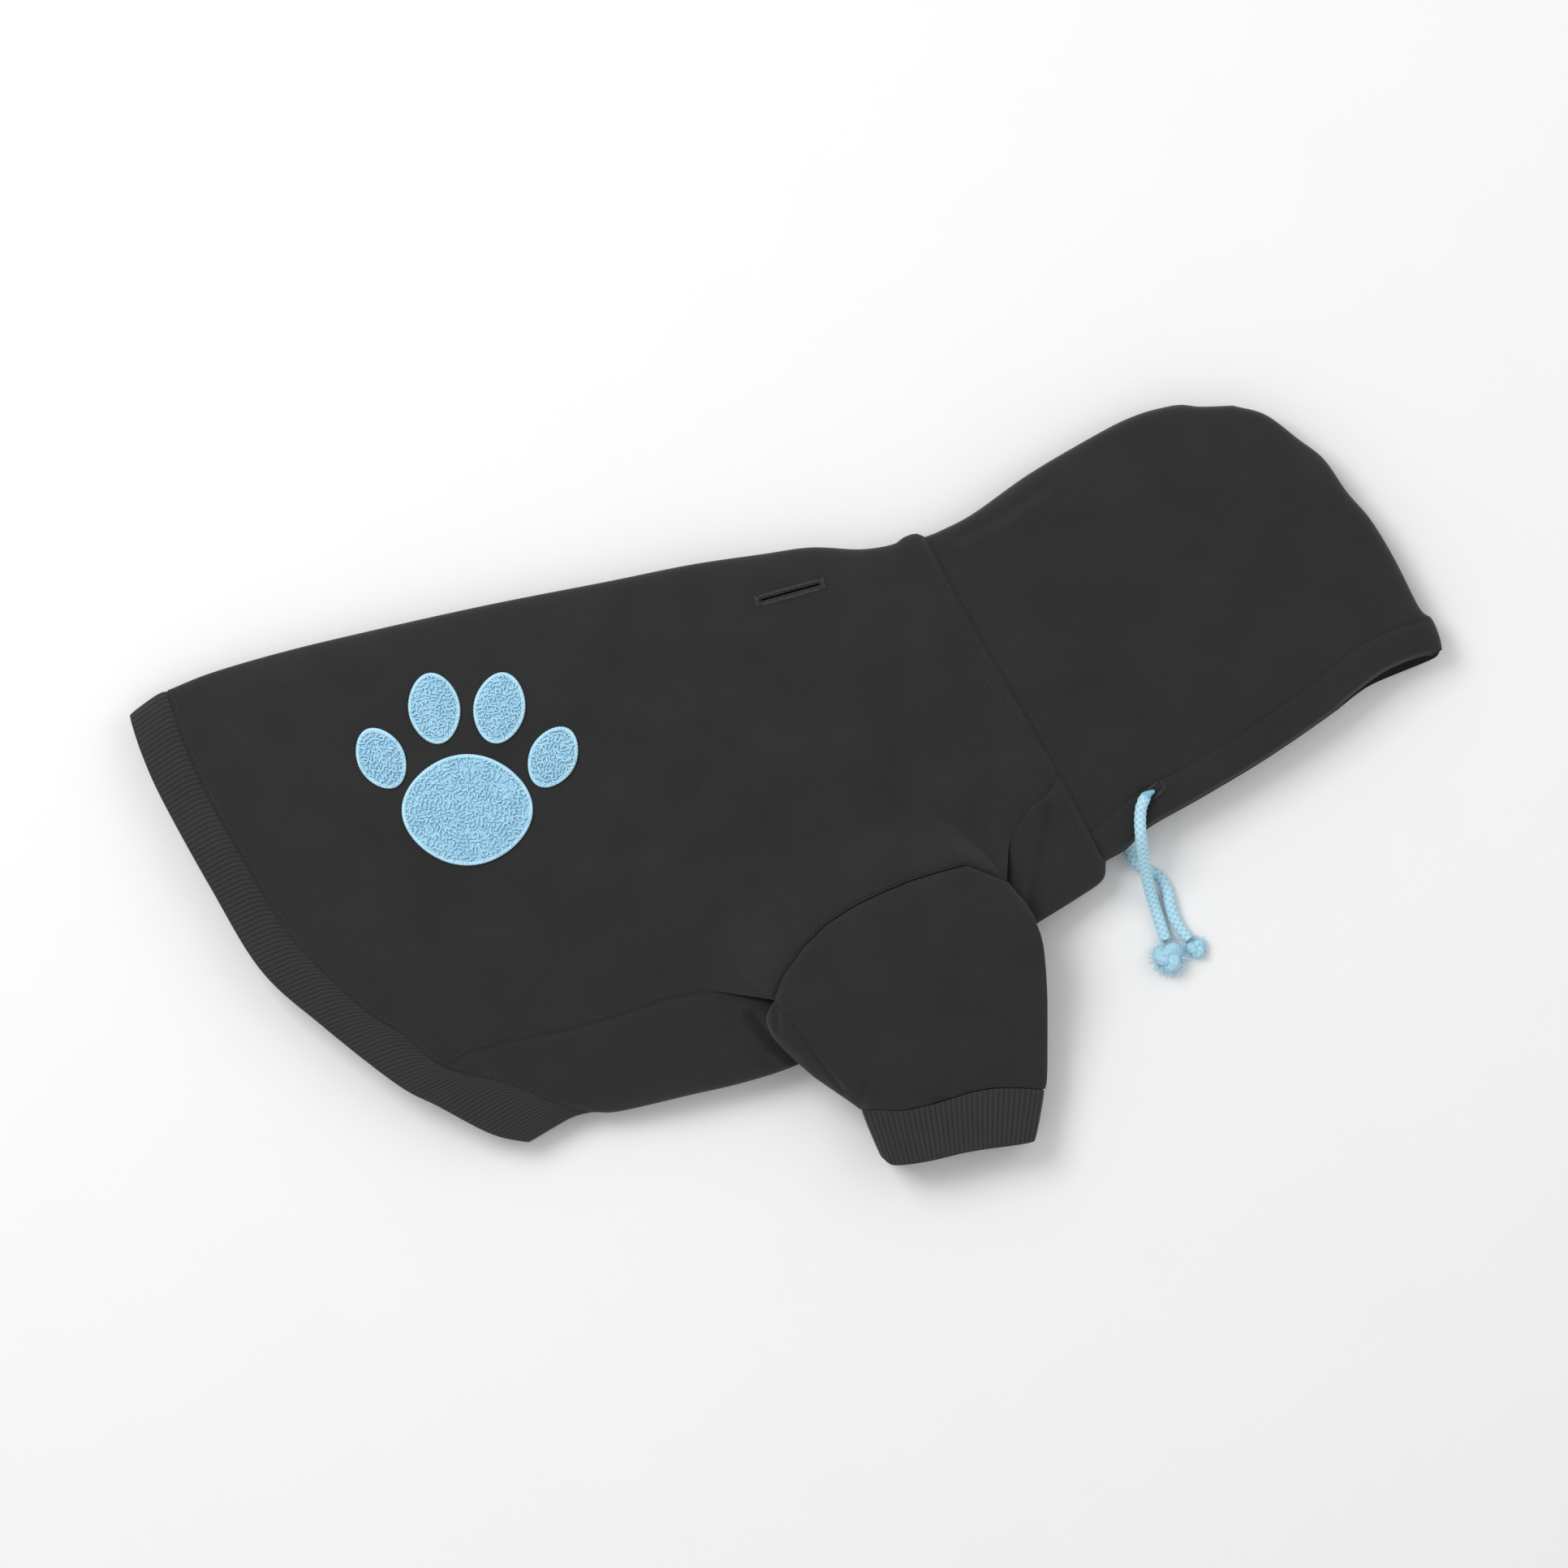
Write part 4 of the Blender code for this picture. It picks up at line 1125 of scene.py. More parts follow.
@dataclass
class RibRing:
    """Rib knit ring: a folded strip whose ribs run square to its edge."""

    rib_pitch: float = 0.0025
    rib_relief: float = 0.00042
    per_rib: int = 6
    section: int = 30

    def ring(self, name: str, wall: float, skin: Surface) -> bpy.types.Object:
        """Model the ring.

        Args:
            name: Name of the piece.
            wall: Thickness of the folded strip.
            skin: Outer skin for shares round the ring and down its depth.

        Returns:
            The ring with its ribs.
        """
        def middle(share: Array) -> Array:
            """Line round the ring at half its depth."""
            return skin(share, np.full(len(share), 0.5))
        coarse = middle(np.linspace(0.0, 1.0, 2000))
        girth = np.linalg.norm(np.diff(coarse, axis=0), axis=1).sum()
        ribs = round(girth / self.rib_pitch)
        columns = ribs * self.per_rib
        steps = even_steps(middle, columns)
        angles = np.linspace(0.0, 2 * math.pi, self.section + 1)
        around, turn = np.meshgrid(steps, angles)
        depth = 0.5 - 0.5 * np.cos(turn)
        points = skin(around.ravel(), depth.ravel())
        sampled = skin(around.ravel(), np.clip(depth.ravel(), 0.02, 0.98))
        ahead = skin(around.ravel() + 1e-4, np.clip(depth.ravel(), 0.02, 0.98)) - sampled
        down = skin(around.ravel(), np.clip(depth.ravel() + 0.01, 0.0, 1.0)) - skin(
            around.ravel(), np.clip(depth.ravel() - 0.01, 0.0, 1.0))
        normals = unit(np.cross(ahead, down))
        if (normals[:, 2] * (points[:, 2] - points[:, 2].mean())).sum() < 0:
            normals = -normals
        out = np.sign(np.sin(turn)) * np.abs(np.sin(turn)) ** 0.35
        phase = np.round(np.linspace(0, columns, columns + 1)) / self.per_rib
        wave = np.abs(np.cos(math.pi * phase)) ** 0.8
        relief = (wave[None, :] - 1) * self.rib_relief * np.abs(out)
        offset = (wall / 2) * (out - 1) + relief * np.sign(out + 1e-9)
        placed = points + normals * offset.ravel()[:, None]

        def shape(u: Array, v: Array) -> Array:
            """Pick the worked-out point of each corner of the grid."""
            column = np.rint(u * columns).astype(int)
            row = np.rint(v * self.section).astype(int)
            return PLAN.placed(placed[row * (columns + 1) + column])
        piece = shaped_grid(name, columns, self.section, shape, weld=True)
        self.shade(piece, columns, wave)
        return piece

    def shade(self, piece: bpy.types.Object, columns: int, wave: Array) -> None:
        """Store how deep each point lies between the ribs as its tone, read off the grid's own map; the rib
        knit's colour is darker between the ribs, painted shade in the grooves.

        Args:
            piece: The ring.
            columns: Spans round the ring.
            wave: Height of the ribs at each column, 1 on top of a rib.
        """
        mesh = piece.data
        tone = np.ones(len(mesh.vertices))
        corners = np.empty(len(mesh.loops), int)
        mesh.loops.foreach_get("vertex_index", corners)
        flat = np.empty(len(mesh.loops) * 2)
        mesh.uv_layers.active.data.foreach_get("uv", flat)
        column = np.rint(flat.reshape(-1, 2)[:, 0] * columns).astype(int)
        # Tone 1 on top of a rib and lower between ribs: painted shade in the grooves of the knit.
        tone[corners] = wave[column]
        set_tone(piece, tone)


@dataclass
class HemBand(RibRing):
    """Ribbed band round the hem."""

    sink: float = 0.0010
    sink_width: float = 0.0030

    def skin(self, around: Array, depth: Array) -> Array:
        """Outer skin round the band.

        Args:
            around: Shares round the ring.
            depth: Shares from the seam to the band's edge.

        Returns:
            Points in the garment's own frame.
        """
        turn = np.mod(around, 1.0)
        upper = turn < 0.5
        across = np.clip(np.where(upper, 1 - np.cos(2 * math.pi * turn), 1 - np.cos(
            2 * math.pi * (1 - turn))) / 2, 0, 1)
        share = fold(2 * across) * fold(2 * (1 - across))
        plan = PLAN.band()(across, depth)
        half = PLAN.hem_height / 2
        height = np.where(upper, half * (1 + share), half * (1 - pressed(share)))
        sink = self.sink * np.exp(-((depth * PLAN.band_depth) / self.sink_width) ** 2)
        height = height - np.where(upper, sink * share, 0.0)
        return np.column_stack([plan, height])

    def build(self, shop: Workshop) -> bpy.types.Object:
        """Model the band."""
        piece = self.ring("ribbed_hem", PLAN.rib, self.skin)
        shade_smooth(piece, 80.0)
        return shop.finish(piece, "rib_knit", RIB, ["hem_band"])


@dataclass
class Limb(RibRing):
    """One sleeve with its ribbed cuff."""

    layer: Layer = Layer.UPPER
    side: str = "right"
    columns: int = 200
    rows: int = 64
    pucker_depth: float = 0.0016
    pucker_width: float = 0.0022
    swell_height: float = 0.0006
    swell_place: float = 0.006
    swell_width: float = 0.004

    def across(self, turn: Array) -> Tuple[Array, Array]:
        """Share across the sleeve and whether the point is on its upper side."""
        share = np.mod(turn, 1.0)
        upper = share < 0.5
        half = np.where(upper, share, 1 - share)
        return (1 - np.cos(2 * math.pi * half)) / 2, upper

    def level(self, across: Array, base: Array, height: Array, upper: Array) -> Array:
        """Height of the skin over the floor."""
        share = PLAN.sleeve_round(across)
        return base + height / 2 * (1 + np.where(upper, share, -share))

    def sleeve_skin(self, turn: Array, depth: Array) -> Array:
        """Outer skin of the sleeve, which is drawn in where the cuff is sewn on.

        Args:
            turn: Shares round the sleeve.
            depth: Shares from the armhole to the cuff.

        Returns:
            Points in the garment's own frame.
        """
        across, upper = self.across(turn)
        top_first = self.layer is Layer.UPPER
        near = PLAN.sleeve(PLAN.armhole_top if top_first else PLAN.armhole_bottom)(across, depth)
        far = PLAN.sleeve(PLAN.armhole_bottom if top_first else PLAN.armhole_top)(across, depth)
        plan = np.where(upper[:, None], near, far)
        base = PLAN.limb_base(across, depth, self.layer)
        height = self.level(across, base, np.full(len(base), PLAN.sleeve_height), upper)
        if top_first:
            share = PLAN.sleeve_round(across) * upper
            height = height + RELIEF.over_body(plan) * share
            cuff = np.abs(1 - depth) * PLAN.underarm_length
            pucker = np.exp(-(cuff / self.pucker_width) ** 2)
            swell = np.exp(-((cuff - self.swell_place) / self.swell_width) ** 2)
            height = height - self.pucker_depth * pucker * share
            height = height + self.swell_height * swell * share
        return np.column_stack([plan, height])

    def cuff_skin(self, turn: Array, depth: Array) -> Array:
        """Outer skin of the cuff."""
        across, upper = self.across(turn)
        plan = PLAN.cuff()(across, depth)
        base = np.full(len(across), PLAN.cuff_height + PLAN.lie_gap
                       if self.layer is Layer.UPPER else 0.0)
        height = PLAN.sleeve_height + (PLAN.cuff_height - PLAN.sleeve_height) * depth
        return np.column_stack([plan, self.level(across, base, height, upper)])

    def build(self, shop: Workshop) -> List[bpy.types.Object]:
        """Model sleeve and cuff."""
        def shape(u: Array, v: Array) -> Array:
            """Points of the sleeve in the row's frame."""
            return PLAN.placed(self.sleeve_skin(u, 0.004 + 0.992 * v))
        sleeve = shaped_grid(f"fleece_sleeve_{self.side}", self.columns, self.rows, shape, weld=True)
        give_wall(sleeve, PLAN.fleece)
        shade_smooth(sleeve)
        shop.finish(sleeve, "fleece", FLEECE, [f"sleeve_{self.side}"])
        cuff = self.ring(f"ribbed_cuff_{self.side}", PLAN.rib, self.cuff_skin)
        shade_smooth(cuff, 80.0)
        shop.finish(cuff, "rib_knit", RIB, [f"cuff_{self.side}"])
        return [sleeve, cuff]


@dataclass
class Hood:
    """Two hood halves with a stitched channel along the front."""

    columns: int = 150
    rows: int = 120

    def front(self, layer: Layer) -> Array:
        """Plan line of the front edge."""
        table = PLAN.top_front if layer is Layer.UPPER else PLAN.low_front
        return edge(PLAN.throat, PLAN.tip, table)(np.linspace(0.0, 1.0, 50))

    def half(self, shop: Workshop, layer: Layer, name: str, node: str) -> bpy.types.Object:
        """Model one half of the hood.

        Args:
            shop: Where pieces are finished.
            layer: Upper or lower half.
            name: Name of the piece.
            node: Solid that it stands for.

        Returns:
            The finished half.
        """
        front = self.front(layer)

        def shape(u: Array, v: Array) -> Array:
            """Points in the row's frame, u from the crest to the front edge."""
            along = 1 - (1 - v) ** 1.5
            down = (1 - np.cos(math.pi * u)) / 2
            points = PLAN.hood_skin(along, down, layer)
            if layer is Layer.UPPER:
                crown = smooth(points[:, 2], 0.0150, 0.0220)
                points[:, 2] += RELIEF.over_hood(points[:, :2], front) * crown
            return PLAN.placed(points)
        piece = shaped_grid(name, self.columns, self.rows, shape)
        self.turn_outwards(piece, layer)
        give_wall(piece, PLAN.fleece)
        shade_smooth(piece)
        return shop.finish(piece, "fleece", FLEECE, [node])

    def turn_outwards(self, piece: bpy.types.Object, layer: Layer) -> None:
        """Point the faces up on the upper half and down on the lower one."""
        if read_faces(piece, "normal")[:, 2].mean() * layer.value < 0:
            flip_faces(piece)


@dataclass
class Stitching:
    """Rows of sewing stitches along the seams."""

    pitch: float = 0.0031
    length: float = 0.0025
    width: float = 0.00055
    height: float = 0.00034

    def places(self, ground: Ground, line: Array, offset: float) -> List[Matrix]:
        """Work out where the stitches of one row go.

        Args:
            ground: Surface that the row lies on.
            line: Plan line of the seam in the garment's own frame.
            offset: How far the row lies to the left of the seam.

        Returns:
            One matrix a stitch.
        """
        ahead = unit(np.gradient(line, axis=0))
        row = line + np.column_stack([-ahead[:, 1], ahead[:, 0]]) * offset
        steps = np.linalg.norm(np.diff(row, axis=0), axis=1)
        reached = np.concatenate([[0.0], np.cumsum(steps)])
        marks = np.arange(self.pitch, reached[-1] - self.pitch, self.pitch)
        plan = np.column_stack([np.interp(marks, reached, row[:, axis]) for axis in range(2)])
        points, normals = ground.drape(plan + np.array(PLAN.to_row[:2]), self.height * 0.25)
        heading = np.gradient(points, axis=0)
        return [frame_at(point, direction, normal)
                for point, direction, normal in zip(points, heading, normals)]

    def build(self, shop: Workshop, ground: Ground, front: Array) -> bpy.types.Object:
        """Sew all rows that show on the upper side."""
        places: List[Matrix] = []
        neck = PLAN.neck_line(80)
        rows = [(neck, -0.0026), (neck, -0.0068), (neck, 0.0024),
                (PLAN.seam_line(PLAN.armhole_top, 90), 0.0022),
                (PLAN.seam_line(PLAN.belly_seam, 70), 0.0022),
                (PLAN.hem_line(120), 0.0024),
                (front[2:-1], RELIEF.channel)]
        for line, offset in rows:
            places += self.places(ground, line, offset)
        model = bead(4, (self.length, self.width, self.height))
        piece = copies("seam_stitches", model, places)
        return shop.finish(piece, "fleece", THREAD)


@dataclass
class LeashSlit:
    """Stitched welt round the leash slit and the buttonhole of the drawcord."""

    welt: float = 0.0021
    pitch: float = 0.00062
    bar_stitches: int = 9
    bar_width: float = 0.0052
    bar_reach: float = 0.0026
    tuck: float = 0.0003
    hole_half: float = 0.0026
    hole_gap: float = 0.0016

    def ring(self, ground: Ground, centre: Array, along: Array, half: float, gap: float) -> List[Matrix]:
        """Work out a ring of buttonhole stitches.

        Args:
            ground: Surface that the ring lies on.
            centre: Middle of the hole in the row's frame.
            along: Direction along the hole.
            half: Half the length of the straight sides.
            gap: Distance of the stitches' middle from the hole's middle line.

        Returns:
            One matrix a stitch.
        """
        side = np.array([-along[1], along[0]])
        places = []
        girth = 4 * half + 2 * math.pi * gap
        for step in range(round(girth / self.pitch)):
            run = step * self.pitch
            if run < 2 * half:
                spot, out = np.array([run - half, gap]), np.array([0.0, 1.0])
            elif run < 2 * half + math.pi * gap:
                angle = math.pi / 2 - (run - 2 * half) / gap
                out = np.array([math.cos(angle), math.sin(angle)])
                spot = np.array([half, 0.0]) + out * gap
            elif run < 4 * half + math.pi * gap:
                spot = np.array([half - (run - 2 * half - math.pi * gap), -gap])
                out = np.array([0.0, -1.0])
            else:
                angle = -math.pi / 2 - (run - 4 * half - math.pi * gap) / gap
                out = np.array([math.cos(angle), math.sin(angle)])
                spot = np.array([-half, 0.0]) + out * gap
            plan = centre[:2] + spot[0] * along[:2] + spot[1] * side
            heading = np.append(out[0] * along[:2] + out[1] * side, 0.0)
            point, normal = ground.top(plan + heading[:2] * 0.0008)
            level = heading - normal * (heading @ normal)
            places.append(frame_at(point + normal * 0.0002, level, normal))
        return places

    def sew(self, shop: Workshop, name: str, places: Sequence[Matrix]) -> bpy.types.Object:
        """Sew satin stitches, each shaded a little unlike the others.

        Args:
            shop: Where pieces are finished.
            name: Name of the piece.
            places: One matrix a stitch.

        Returns:
            The finished piece.
        """
        model = bead(6, (self.welt, self.pitch * 1.15, self.pitch * 1.5))
        piece = copies(name, model, places)
        set_tone(piece, 0.5 + 0.9 * ripple(read_points(piece), 0.0016, 5.0))
        return shop.finish(piece, "fleece", WELT)

    def build(self, shop: Workshop, ground: Ground, body: BodyTube, panel: bpy.types.Object) -> None:
        """Sew the welt of the slit with its bars."""
        centre, along = body.slit_frame(panel)
        half = (body.slit_length - body.slit_width) / 2
        gap = body.slit_width / 2 + self.welt / 2 - self.tuck
        places = self.ring(ground, centre, along, half, gap)
        side = np.array([-along[1], along[0], 0.0])
        for end in (-1, 1):
            for step in range(self.bar_stitches):
                across = (step / (self.bar_stitches - 1) - 0.5) * self.bar_width
                plan = centre + along * end * (half + self.bar_reach) + side * across
                point, normal = ground.top(plan[:2])
                places.append(frame_at(point + normal * 0.0004, along, normal))
        self.sew(shop, "slit_welt", places)

    def buttonhole(self, shop: Workshop, ground: Ground, place: Array, turn: float) -> None:
        """Sew the small buttonhole that the drawcord leaves by."""
        along = np.array([math.cos(turn), math.sin(turn), 0.0])
        places = self.ring(ground, place, along, self.hole_half, self.hole_gap)
        self.sew(shop, "cord_buttonhole", places)


@dataclass
class PawPatch:
    """Paw print of looped yarn: a pad and four toes, each with a corded rim."""

    pad_place: Tuple[float, float] = (0.290, 0.325)
    pad_size: float = 0.0640
    pad_length: float = 0.0540
    toe_size: float = 0.0340
    toe_width: float = 0.0240
    thickness: float = 0.0026
    turn: float = -12.0
    toes: Table = ((-0.66, 0.40, 28.0, 0.90), (-0.25, 0.78, 9.0, 1.00),
                   (0.25, 0.78, -9.0, 1.00), (0.66, 0.40, -28.0, 0.90))
    loop_pitch: float = 0.0020
    loop_radius: float = 0.00098
    yarn: float = 0.00046
    rim: float = 0.0011
    rim_pitch: float = 0.0016
    edge_height: float = 0.00035

    def outline(self, angle: Array, half: Tuple[float, float]) -> Array:
        """Plan outline of a cushion before it is turned and placed."""
        across = np.cos(angle)
        return np.column_stack([across * half[0],
                                np.sin(angle) * half[1] * (1 - 0.12 * across ** 2)])

    def cushion(self, shop: Workshop, ground: Ground, name: str, centre: Array,
                half: Tuple[float, float], lean: float, node: str) -> None:
        """Model one cushion with its loops and rim.

        Args:
            shop: Where pieces are finished.
            ground: Surface of the back panel.
            name: First word of the piece names.
            centre: Plan place in the row's frame.
            half: Half width and half length.
            lean: Turn in radians.
            node: Solid that the cushion stands for.
        """
        spin = np.array([[math.cos(lean), -math.sin(lean)], [math.sin(lean), math.cos(lean)]])

        def level(plan: Array, share: Array) -> Array:
            """Points over the panel, share 0 at the rim and 1 in the middle."""
            points, normals = ground.drape(plan)
            dome = np.sqrt(np.clip(1 - (1 - share) ** 2, 0, 1))
            crown = self.edge_height + (self.thickness - 0.0010) * dome
            return points + normals * crown[:, None]

        bpy.ops.object.select_all(action="DESELECT")
        bpy.ops.mesh.primitive_uv_sphere_add(segments=64, ring_count=24, radius=1.0)
        base = bpy.context.active_object
        base.name = f"{name}_cushion"
        ball = read_points(base)
        angle = np.arctan2(ball[:, 1], ball[:, 0])
        reach = np.hypot(ball[:, 0], ball[:, 1])
        plan = (self.outline(angle, half) * reach[:, None]) @ spin.T + centre
        top = level(plan, np.where(ball[:, 2] > 0, 1 - reach, 0.0))
        write_points(base, top)
        # A low tone makes the cushion under the loops darker than the loops: painted shade between the
        # loops.
        set_tone(base, np.full(len(top), 0.15))
        face_outwards(base)
        shade_smooth(base)
        shop.finish(base, "loop_patch", LOOPS, [node])
        self.loops(shop, name, centre, half, spin, level)
        ring = np.linspace(0.0, 2 * math.pi, 240, endpoint=False)
        border, _ = ground.drape(self.outline(ring, half) @ spin.T * 0.975 + centre, self.rim * 0.75)
        girth = np.linalg.norm(np.diff(border, axis=0), axis=1).sum()
        strands = round(girth / self.rim_pitch)

        def section(u: Array, v: Array) -> Array:
            """Radius of the twisted rim cord."""
            return self.rim * (0.86 + 0.14 * np.abs(np.cos(math.pi * (strands * v + u))))
        rim = tube(f"{name}_rim", border, 10, section, closed=True)
        lay = np.abs(np.cos(math.pi * 12 * read_points(rim)[:, 0] / 0.02))
        set_tone(rim, 0.55 + 0.45 * lay)
        shade_smooth(rim, 80.0)
        shop.finish(rim, "loop_patch", LOOPS)

    def loops(self, shop: Workshop, name: str, centre: Array, half: Tuple[float, float],
              spin: Array, level: Surface) -> None:
        """Cover a cushion with rows of yarn loops.

        Args:
            shop: Where pieces are finished.
            name: First word of the piece name.
            centre: Plan place in the row's frame.
            half: Half width and half length.
            spin: Turn of the cushion in plan.
            level: Points over the panel for plan points and shares inwards.
        """
        chance = np.random.default_rng(len(name) * 101 + round(half[0] * 1e5))
        plans = []
        shares = []
        rings = int(half[1] / self.loop_pitch)
        for ring in range(rings + 1):
            share = (ring + 0.15) / (rings + 0.55)
            girth = math.pi * (half[0] + half[1]) * share
            count = max(1, round(girth / self.loop_pitch))
            for step in range(count):
                angle = 2 * math.pi * (step + chance.uniform(-0.3, 0.3)) / count + ring * 0.7
                reach = share * (1 + chance.uniform(-0.02, 0.02)) * 0.97
                plans.append(self.outline(np.array([angle]), half)[0] * reach)
                shares.append(1 - reach)
        points = level(np.array(plans) @ spin.T + centre, np.array(shares))
        places = []
        for point in points:
            turn = chance.uniform(0, 2 * math.pi)
            heading = np.array([math.cos(turn), math.sin(turn), chance.uniform(-0.25, 0.25)])
            up = np.array([chance.uniform(-0.5, 0.5), chance.uniform(-0.5, 0.5), 1.0])
            grow = chance.uniform(0.85, 1.2)
            places.append(frame_at(point, heading, up) @ Matrix.Scale(grow, 4))
        bpy.ops.object.select_all(action="DESELECT")
        bpy.ops.mesh.primitive_torus_add(major_segments=10, minor_segments=5,
                                         major_radius=self.loop_radius, minor_radius=self.yarn,
                                         rotation=(math.radians(90), 0.0, 0.0))
        model = bpy.context.active_object
        bpy.ops.object.transform_apply(location=True, rotation=True, scale=True)
        piece = copies(f"{name}_loops", model, places)
        shaded = 0.55 + 0.6 * ripple(read_points(piece), 0.0035, 2.0)
        set_tone(piece, shaded)
        shop.finish(piece, "loop_patch", LOOPS)

    def build(self, shop: Workshop, ground: Ground) -> None:
        """Model the pad and the toes."""
        centre = PLAN.body()(*self.pad_place) + np.array(PLAN.to_row[:2])
        lean = math.radians(self.turn)
        self.cushion(shop, ground, "print_pad", centre, (self.pad_size / 2, self.pad_length / 2),
                     lean, "paw_pad")
        for index, (across, up, tilt, share) in enumerate(self.toes, start=1):
            offset = np.array([across, up]) * self.pad_size
            place = centre + np.array([offset[0] * math.cos(lean) - offset[1] * math.sin(lean),
                                       offset[0] * math.sin(lean) + offset[1] * math.cos(lean)])
            half = (self.toe_width / 2 * share, self.toe_size / 2 * share)
            self.cushion(shop, ground, f"print_toe_{index}", place, half,
                         lean + math.radians(tilt), f"paw_toe_{index}")


@dataclass
class Drawcord:
    """One free end of the braided drawcord with its frayed knot."""

    side: str
    route: Table
    knot: Tuple[float, float]
    knot_size: float
    diameter: float = 0.0060
    plait: float = 0.0062
    strands: int = 4
    fringe: int = 120
    end_length: float = 0.0046
    end_radius: float = 0.00024
    knot_reach: float = 0.0082

    def track(self, count: int) -> Array:
        """Centre line in the row's frame."""
        return PLAN.placed(spline(self.route)(np.linspace(0.0, 1.0, count)))

    def build(self, shop: Workshop) -> bpy.types.Object:
        path = self.track(320)
        length = float(np.linalg.norm(np.diff(path, axis=0), axis=1).sum())
        turns = length / self.plait
        weave = self.weave(turns)

        def section(u: Array, v: Array) -> Array:
            """Radius of the braid."""
            end = np.minimum(0.30 + 0.70 * smooth(v, 0.0, 0.075), 1.0 - 0.45 * smooth(v, 0.994, 1.0))
            return (self.diameter / 2) * (0.84 + 0.16 * weave(u, v)) * end
        piece = tube(f"braided_cord_{self.side}", path, 48, section)
        points = read_points(piece)
        nearest = np.array([np.argmin(((path - point) ** 2).sum(1)) for point in points])
        radius = np.linalg.norm(points - path[nearest], axis=1)
        # Tone from the braid's radius, low between the strands and high on them: painted shade in the
        # grooves of the plait.
        set_tone(piece, np.clip((radius / (self.diameter / 2) - 0.84) / 0.16, 0, 1) ** 1.3)
        shade_smooth(piece, 80.0)
        shop.finish(piece, "braid", BRAID, [f"drawcord_{self.side}"])
        knot = self.tie(shop)
        [tuple(point) for point in self.track(26)]
        return piece

    def weave(self, turns: float) -> Surface:
        """Height of the plait, 0 between the strands and 1 on them."""
        def at(u: Array, v: Array) -> Array:
            """Heights for the angle's and the length's share."""
            right = self.strands * u + turns * v * self.strands / 2
            left = self.strands * u - turns * v * self.strands / 2
            first = np.abs(np.sin(math.pi * right))
            second = np.abs(np.sin(math.pi * left))
            over = np.sin(math.pi * (right + left)) * np.sin(math.pi * (right - left)) > 0
            high = np.where(over, first, second)
            low = np.where(over, second, first)
            return np.clip(0.75 * high ** 0.6 + 0.25 * high * low, 0, 1)
        return at

    def tie(self, shop: Workshop) -> List[bpy.types.Object]:
        """Model the knot: three tight turns of cord and a fringe of yarn ends."""
        centre = PLAN.placed(np.array([*self.knot, 0.0]))
        reach = self.knot_size / 2
        cord = reach * 0.40
        turn = np.linspace(0.0, 2 * math.pi, 200, endpoint=False) + 0.4
        unit_size = (reach - cord) / 3.0
        path = np.column_stack([np.sin(turn) + 2 * np.sin(2 * turn),
                                np.cos(turn) - 2 * np.cos(2 * turn), -0.75 * np.sin(3 * turn)]) * unit_size
        path += centre + np.array([0.0, 0.0, cord + 0.75 * unit_size + 0.0001])
        weave = self.weave(9.0 * reach * 2 / self.plait)

        def section(u: Array, v: Array) -> Array:
            """Radius of the knotted braid."""
            return cord * (0.86 + 0.14 * weave(u, v))
        body = tube(f"knot_{self.side}", path, 32, section, closed=True)
        set_tone(body, 0.55 + 0.5 * ripple(read_points(body), 0.0012, 4.0))
        shade_smooth(body, 80.0)
        shop.finish(body, "braid", BRAID, [f"cord_knot_{self.side}"])
        return [body, self.fray(shop, centre, reach)]

    def fray(self, shop: Workshop, centre: Array, reach: float) -> bpy.types.Object:
        """Model the loose yarn ends round the knot.

        Args:
            shop: Where pieces are finished.
            centre: Point on the floor under the knot, in the row's frame.
            reach: Half the knot's size.

        Returns:
            The fringe as one piece.
        """
        chance = np.random.default_rng(round(self.knot_size * 1e5))
        places = []
        for _ in range(self.fringe):
            turn = chance.uniform(0, 2 * math.pi)
            rise = chance.uniform(0.0, 0.9)
            out = np.array([math.cos(turn), math.sin(turn), rise])
            start = centre + np.array([out[0] * reach * 0.72, out[1] * reach * 0.72,
                                       reach * (0.35 + 0.75 * rise * chance.uniform(0.3, 1.0))])
            heading = unit(out + chance.normal(0, 0.45, 3) * (1, 1, 0.3) - (0, 0, 0.25))
            places.append(frame_at(start, heading, (0.0, 0.0, 1.0), chance.uniform(-1.2, 1.2))
                          @ Matrix.Scale(chance.uniform(0.6, 1.15) * reach / self.knot_reach, 4))
        bpy.ops.object.select_all(action="DESELECT")
        bpy.ops.mesh.primitive_cylinder_add(vertices=5, radius=self.end_radius, depth=self.end_length)
        model = bpy.context.active_object
        bpy.ops.object.mode_set(mode="EDIT")
        bpy.ops.mesh.select_all(action="SELECT")
        bpy.ops.mesh.subdivide(number_cuts=4)
        bpy.ops.object.mode_set(mode="OBJECT")
        points = read_points(model)[:, [2, 0, 1]]
        run = (points[:, 0] + self.end_length / 2) / self.end_length
        points[:, 1:] *= (1 - 0.5 * run)[:, None]
        points[:, 2] -= 0.0016 * run ** 2
        points[:, 1] += 0.0005 * np.sin(4 * run)
        points[:, 0] += self.end_length / 2
        write_points(model, points)
        piece = copies(f"fringe_{self.side}", model, places)
        worked = read_points(piece)
        worked[:, 2] = np.maximum(worked[:, 2], 0.0002)
        write_points(piece, worked)
        set_tone(piece, 0.65 + 0.5 * ripple(worked, 0.0015, 8.0))
        return shop.finish(piece, "braid", BRAID)


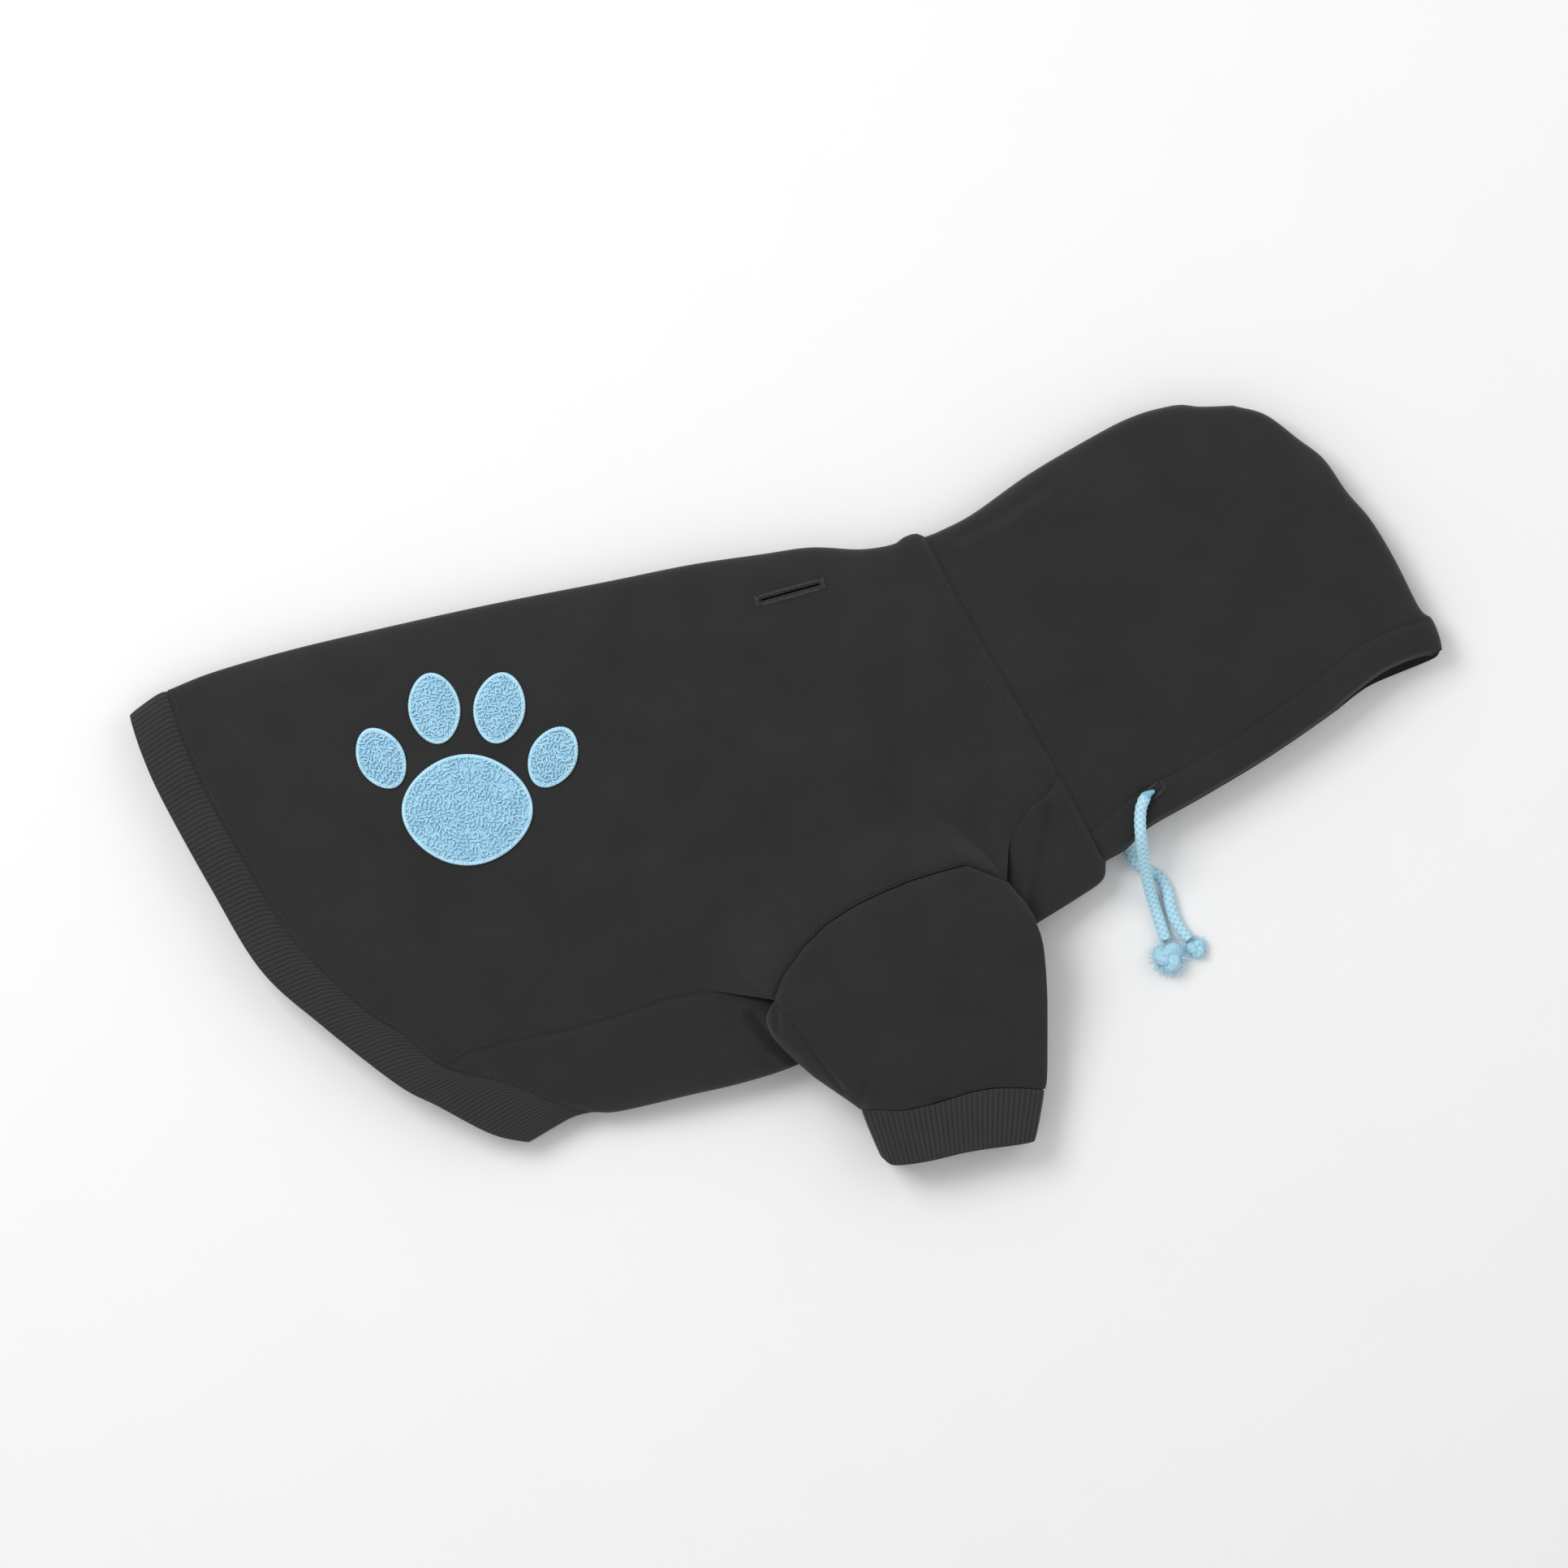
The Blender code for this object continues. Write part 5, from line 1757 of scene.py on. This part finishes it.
RIGHT_CORD = Drawcord("right", (
    (0.4644, -0.1529, 0.0283), (0.4600, -0.1546, 0.0284), (0.4565, -0.1590, 0.0283),
    (0.4545, -0.1650, 0.0279), (0.4533, -0.1717, 0.0275), (0.4528, -0.1780, 0.0242),
    (0.4526, -0.1842, 0.0190), (0.4525, -0.1905, 0.0141), (0.4526, -0.1970, 0.0099),
    (0.4530, -0.2035, 0.0064), (0.4537, -0.2100, 0.0040), (0.4544, -0.2165, 0.0032),
    (0.4550, -0.2225, 0.0031), (0.4554, -0.2270, 0.0033)), (0.4550, -0.2351), 0.0165)
LEFT_CORD = Drawcord("left", (
    (0.4644, -0.1560, 0.0031), (0.4590, -0.1585, 0.0031), (0.4535, -0.1635, 0.0031),
    (0.4492, -0.1700, 0.0031), (0.4474, -0.1765, 0.0031), (0.4478, -0.1830, 0.0031),
    (0.4506, -0.1878, 0.0031), (0.4552, -0.1915, 0.0031), (0.4596, -0.1965, 0.0031),
    (0.4614, -0.2030, 0.0031), (0.4614, -0.2100, 0.0031), (0.4620, -0.2170, 0.0031),
    (0.4640, -0.2235, 0.0031), (0.4668, -0.2290, 0.0031)), (0.4696, -0.2339), 0.0105)


@dataclass
class Studio:
    """White floor, soft light and the camera over the garment."""

    distance: float = 3.0
    view_width: float = 0.7728
    middle: Tuple[float, float, float] = (-0.0115, 0.0288, 0.018)
    turn: float = -12.4
    world_light: float = 0.64
    key_watts: float = 27.0

    def build(self) -> None:
        """Set up camera, floor and lights."""
        self.camera()
        bpy.ops.object.select_all(action="DESELECT")
        bpy.ops.mesh.primitive_plane_add(size=12.0)
        floor = bpy.context.active_object
        floor.name = "studio_floor"
        Dyer().dress(floor, PAPER)
        world = bpy.data.worlds.new("studio")
        world.use_nodes = True
        world.node_tree.nodes["Background"].inputs["Color"].default_value = (1.0, 1.0, 1.0, 1.0)
        world.node_tree.nodes["Background"].inputs["Strength"].default_value = self.world_light
        bpy.context.scene.world = world
        self.softbox("key_softbox", (-0.9, 1.1, 1.7), 1.1, self.key_watts)
        self.softbox("side_softbox", (1.6, 0.4, 1.5), 1.4, self.key_watts * 0.25)

    def camera(self) -> None:
        """Aim the camera straight down, turned as the photograph is."""
        data = bpy.data.cameras.new("camera")
        data.sensor_width = 36.0
        data.lens = data.sensor_width * self.distance / self.view_width
        camera = bpy.data.objects.new("camera", data)
        bpy.context.scene.collection.objects.link(camera)
        camera.location = Vector(self.middle) + Vector((0.0, 0.0, self.distance))
        camera.rotation_euler = (0.0, 0.0, math.radians(self.turn))
        bpy.context.scene.camera = camera

    def softbox(self, name: str, place: Tuple[float, float, float], size: float, watts: float) -> None:
        """Hang one soft light that looks at the garment."""
        data = bpy.data.lights.new(name, "AREA")
        data.size = size
        data.energy = watts
        light = bpy.data.objects.new(name, data)
        bpy.context.scene.collection.objects.link(light)
        light.location = place
        light.rotation_euler = Vector(place).to_track_quat("Z", "Y").to_euler()


@dataclass
class DogHoodie:
    """The whole garment, sub-assembly by sub-assembly."""

    body: BodyTube = field(default_factory=BodyTube)
    hem: HemBand = field(default_factory=HemBand)
    hood: Hood = field(default_factory=Hood)

    def build(self, shop: Workshop) -> None:
        """Make every piece in order."""
        for cord in (RIGHT_CORD, LEFT_CORD):
            cord.build(shop)
        back = self.body.panel(shop, Panel.BACK, "fleece_back", "back_panel")
        belly = self.body.panel(shop, Panel.BELLY, "fleece_belly", "belly_panel")
        hem = self.hem.build(shop)
        right = self.hood.half(shop, Layer.UPPER, "fleece_hood_right", "hood_right")
        left = self.hood.half(shop, Layer.LOWER, "fleece_hood_left", "hood_left")
        limbs = []
        for side, layer in (("right", Layer.UPPER), ("left", Layer.LOWER)):
            limbs.append(Limb(layer=layer, side=side).build(shop))
        ground = Ground(back, belly, right, *limbs[0])
        Stitching().build(shop, ground, self.hood.front(Layer.UPPER))
        welt = LeashSlit()
        welt.build(shop, ground, self.body, back)
        hole = PLAN.placed(np.array(CORD_HOLE))
        welt.buttonhole(shop, ground, hole, math.radians(CORD_HOLE_TURN))
        PawPatch().build(shop, ground)


def half_area(piece: bpy.types.Object) -> float:
    """Half of a closed piece's surface, which is the area of its cloth."""
    areas = np.empty(len(piece.data.polygons))
    piece.data.polygons.foreach_get("area", areas)
    return float(areas.sum()) / 2


def main() -> None:
    """Build the studio and the garment."""
    logging.basicConfig(level=logging.INFO, format="%(name)s: %(message)s")
    bpy.context.scene.view_settings.view_transform = "Standard"
    Studio().build()
    shop = Workshop()
    DogHoodie().build(shop)
    for piece in shop.made:
        LOG.info("%s has %.4f square metres of cloth", piece.name, half_area(piece))
    LOG.info("built %d pieces", len(shop.made))


if __name__ == "__main__":
    main()
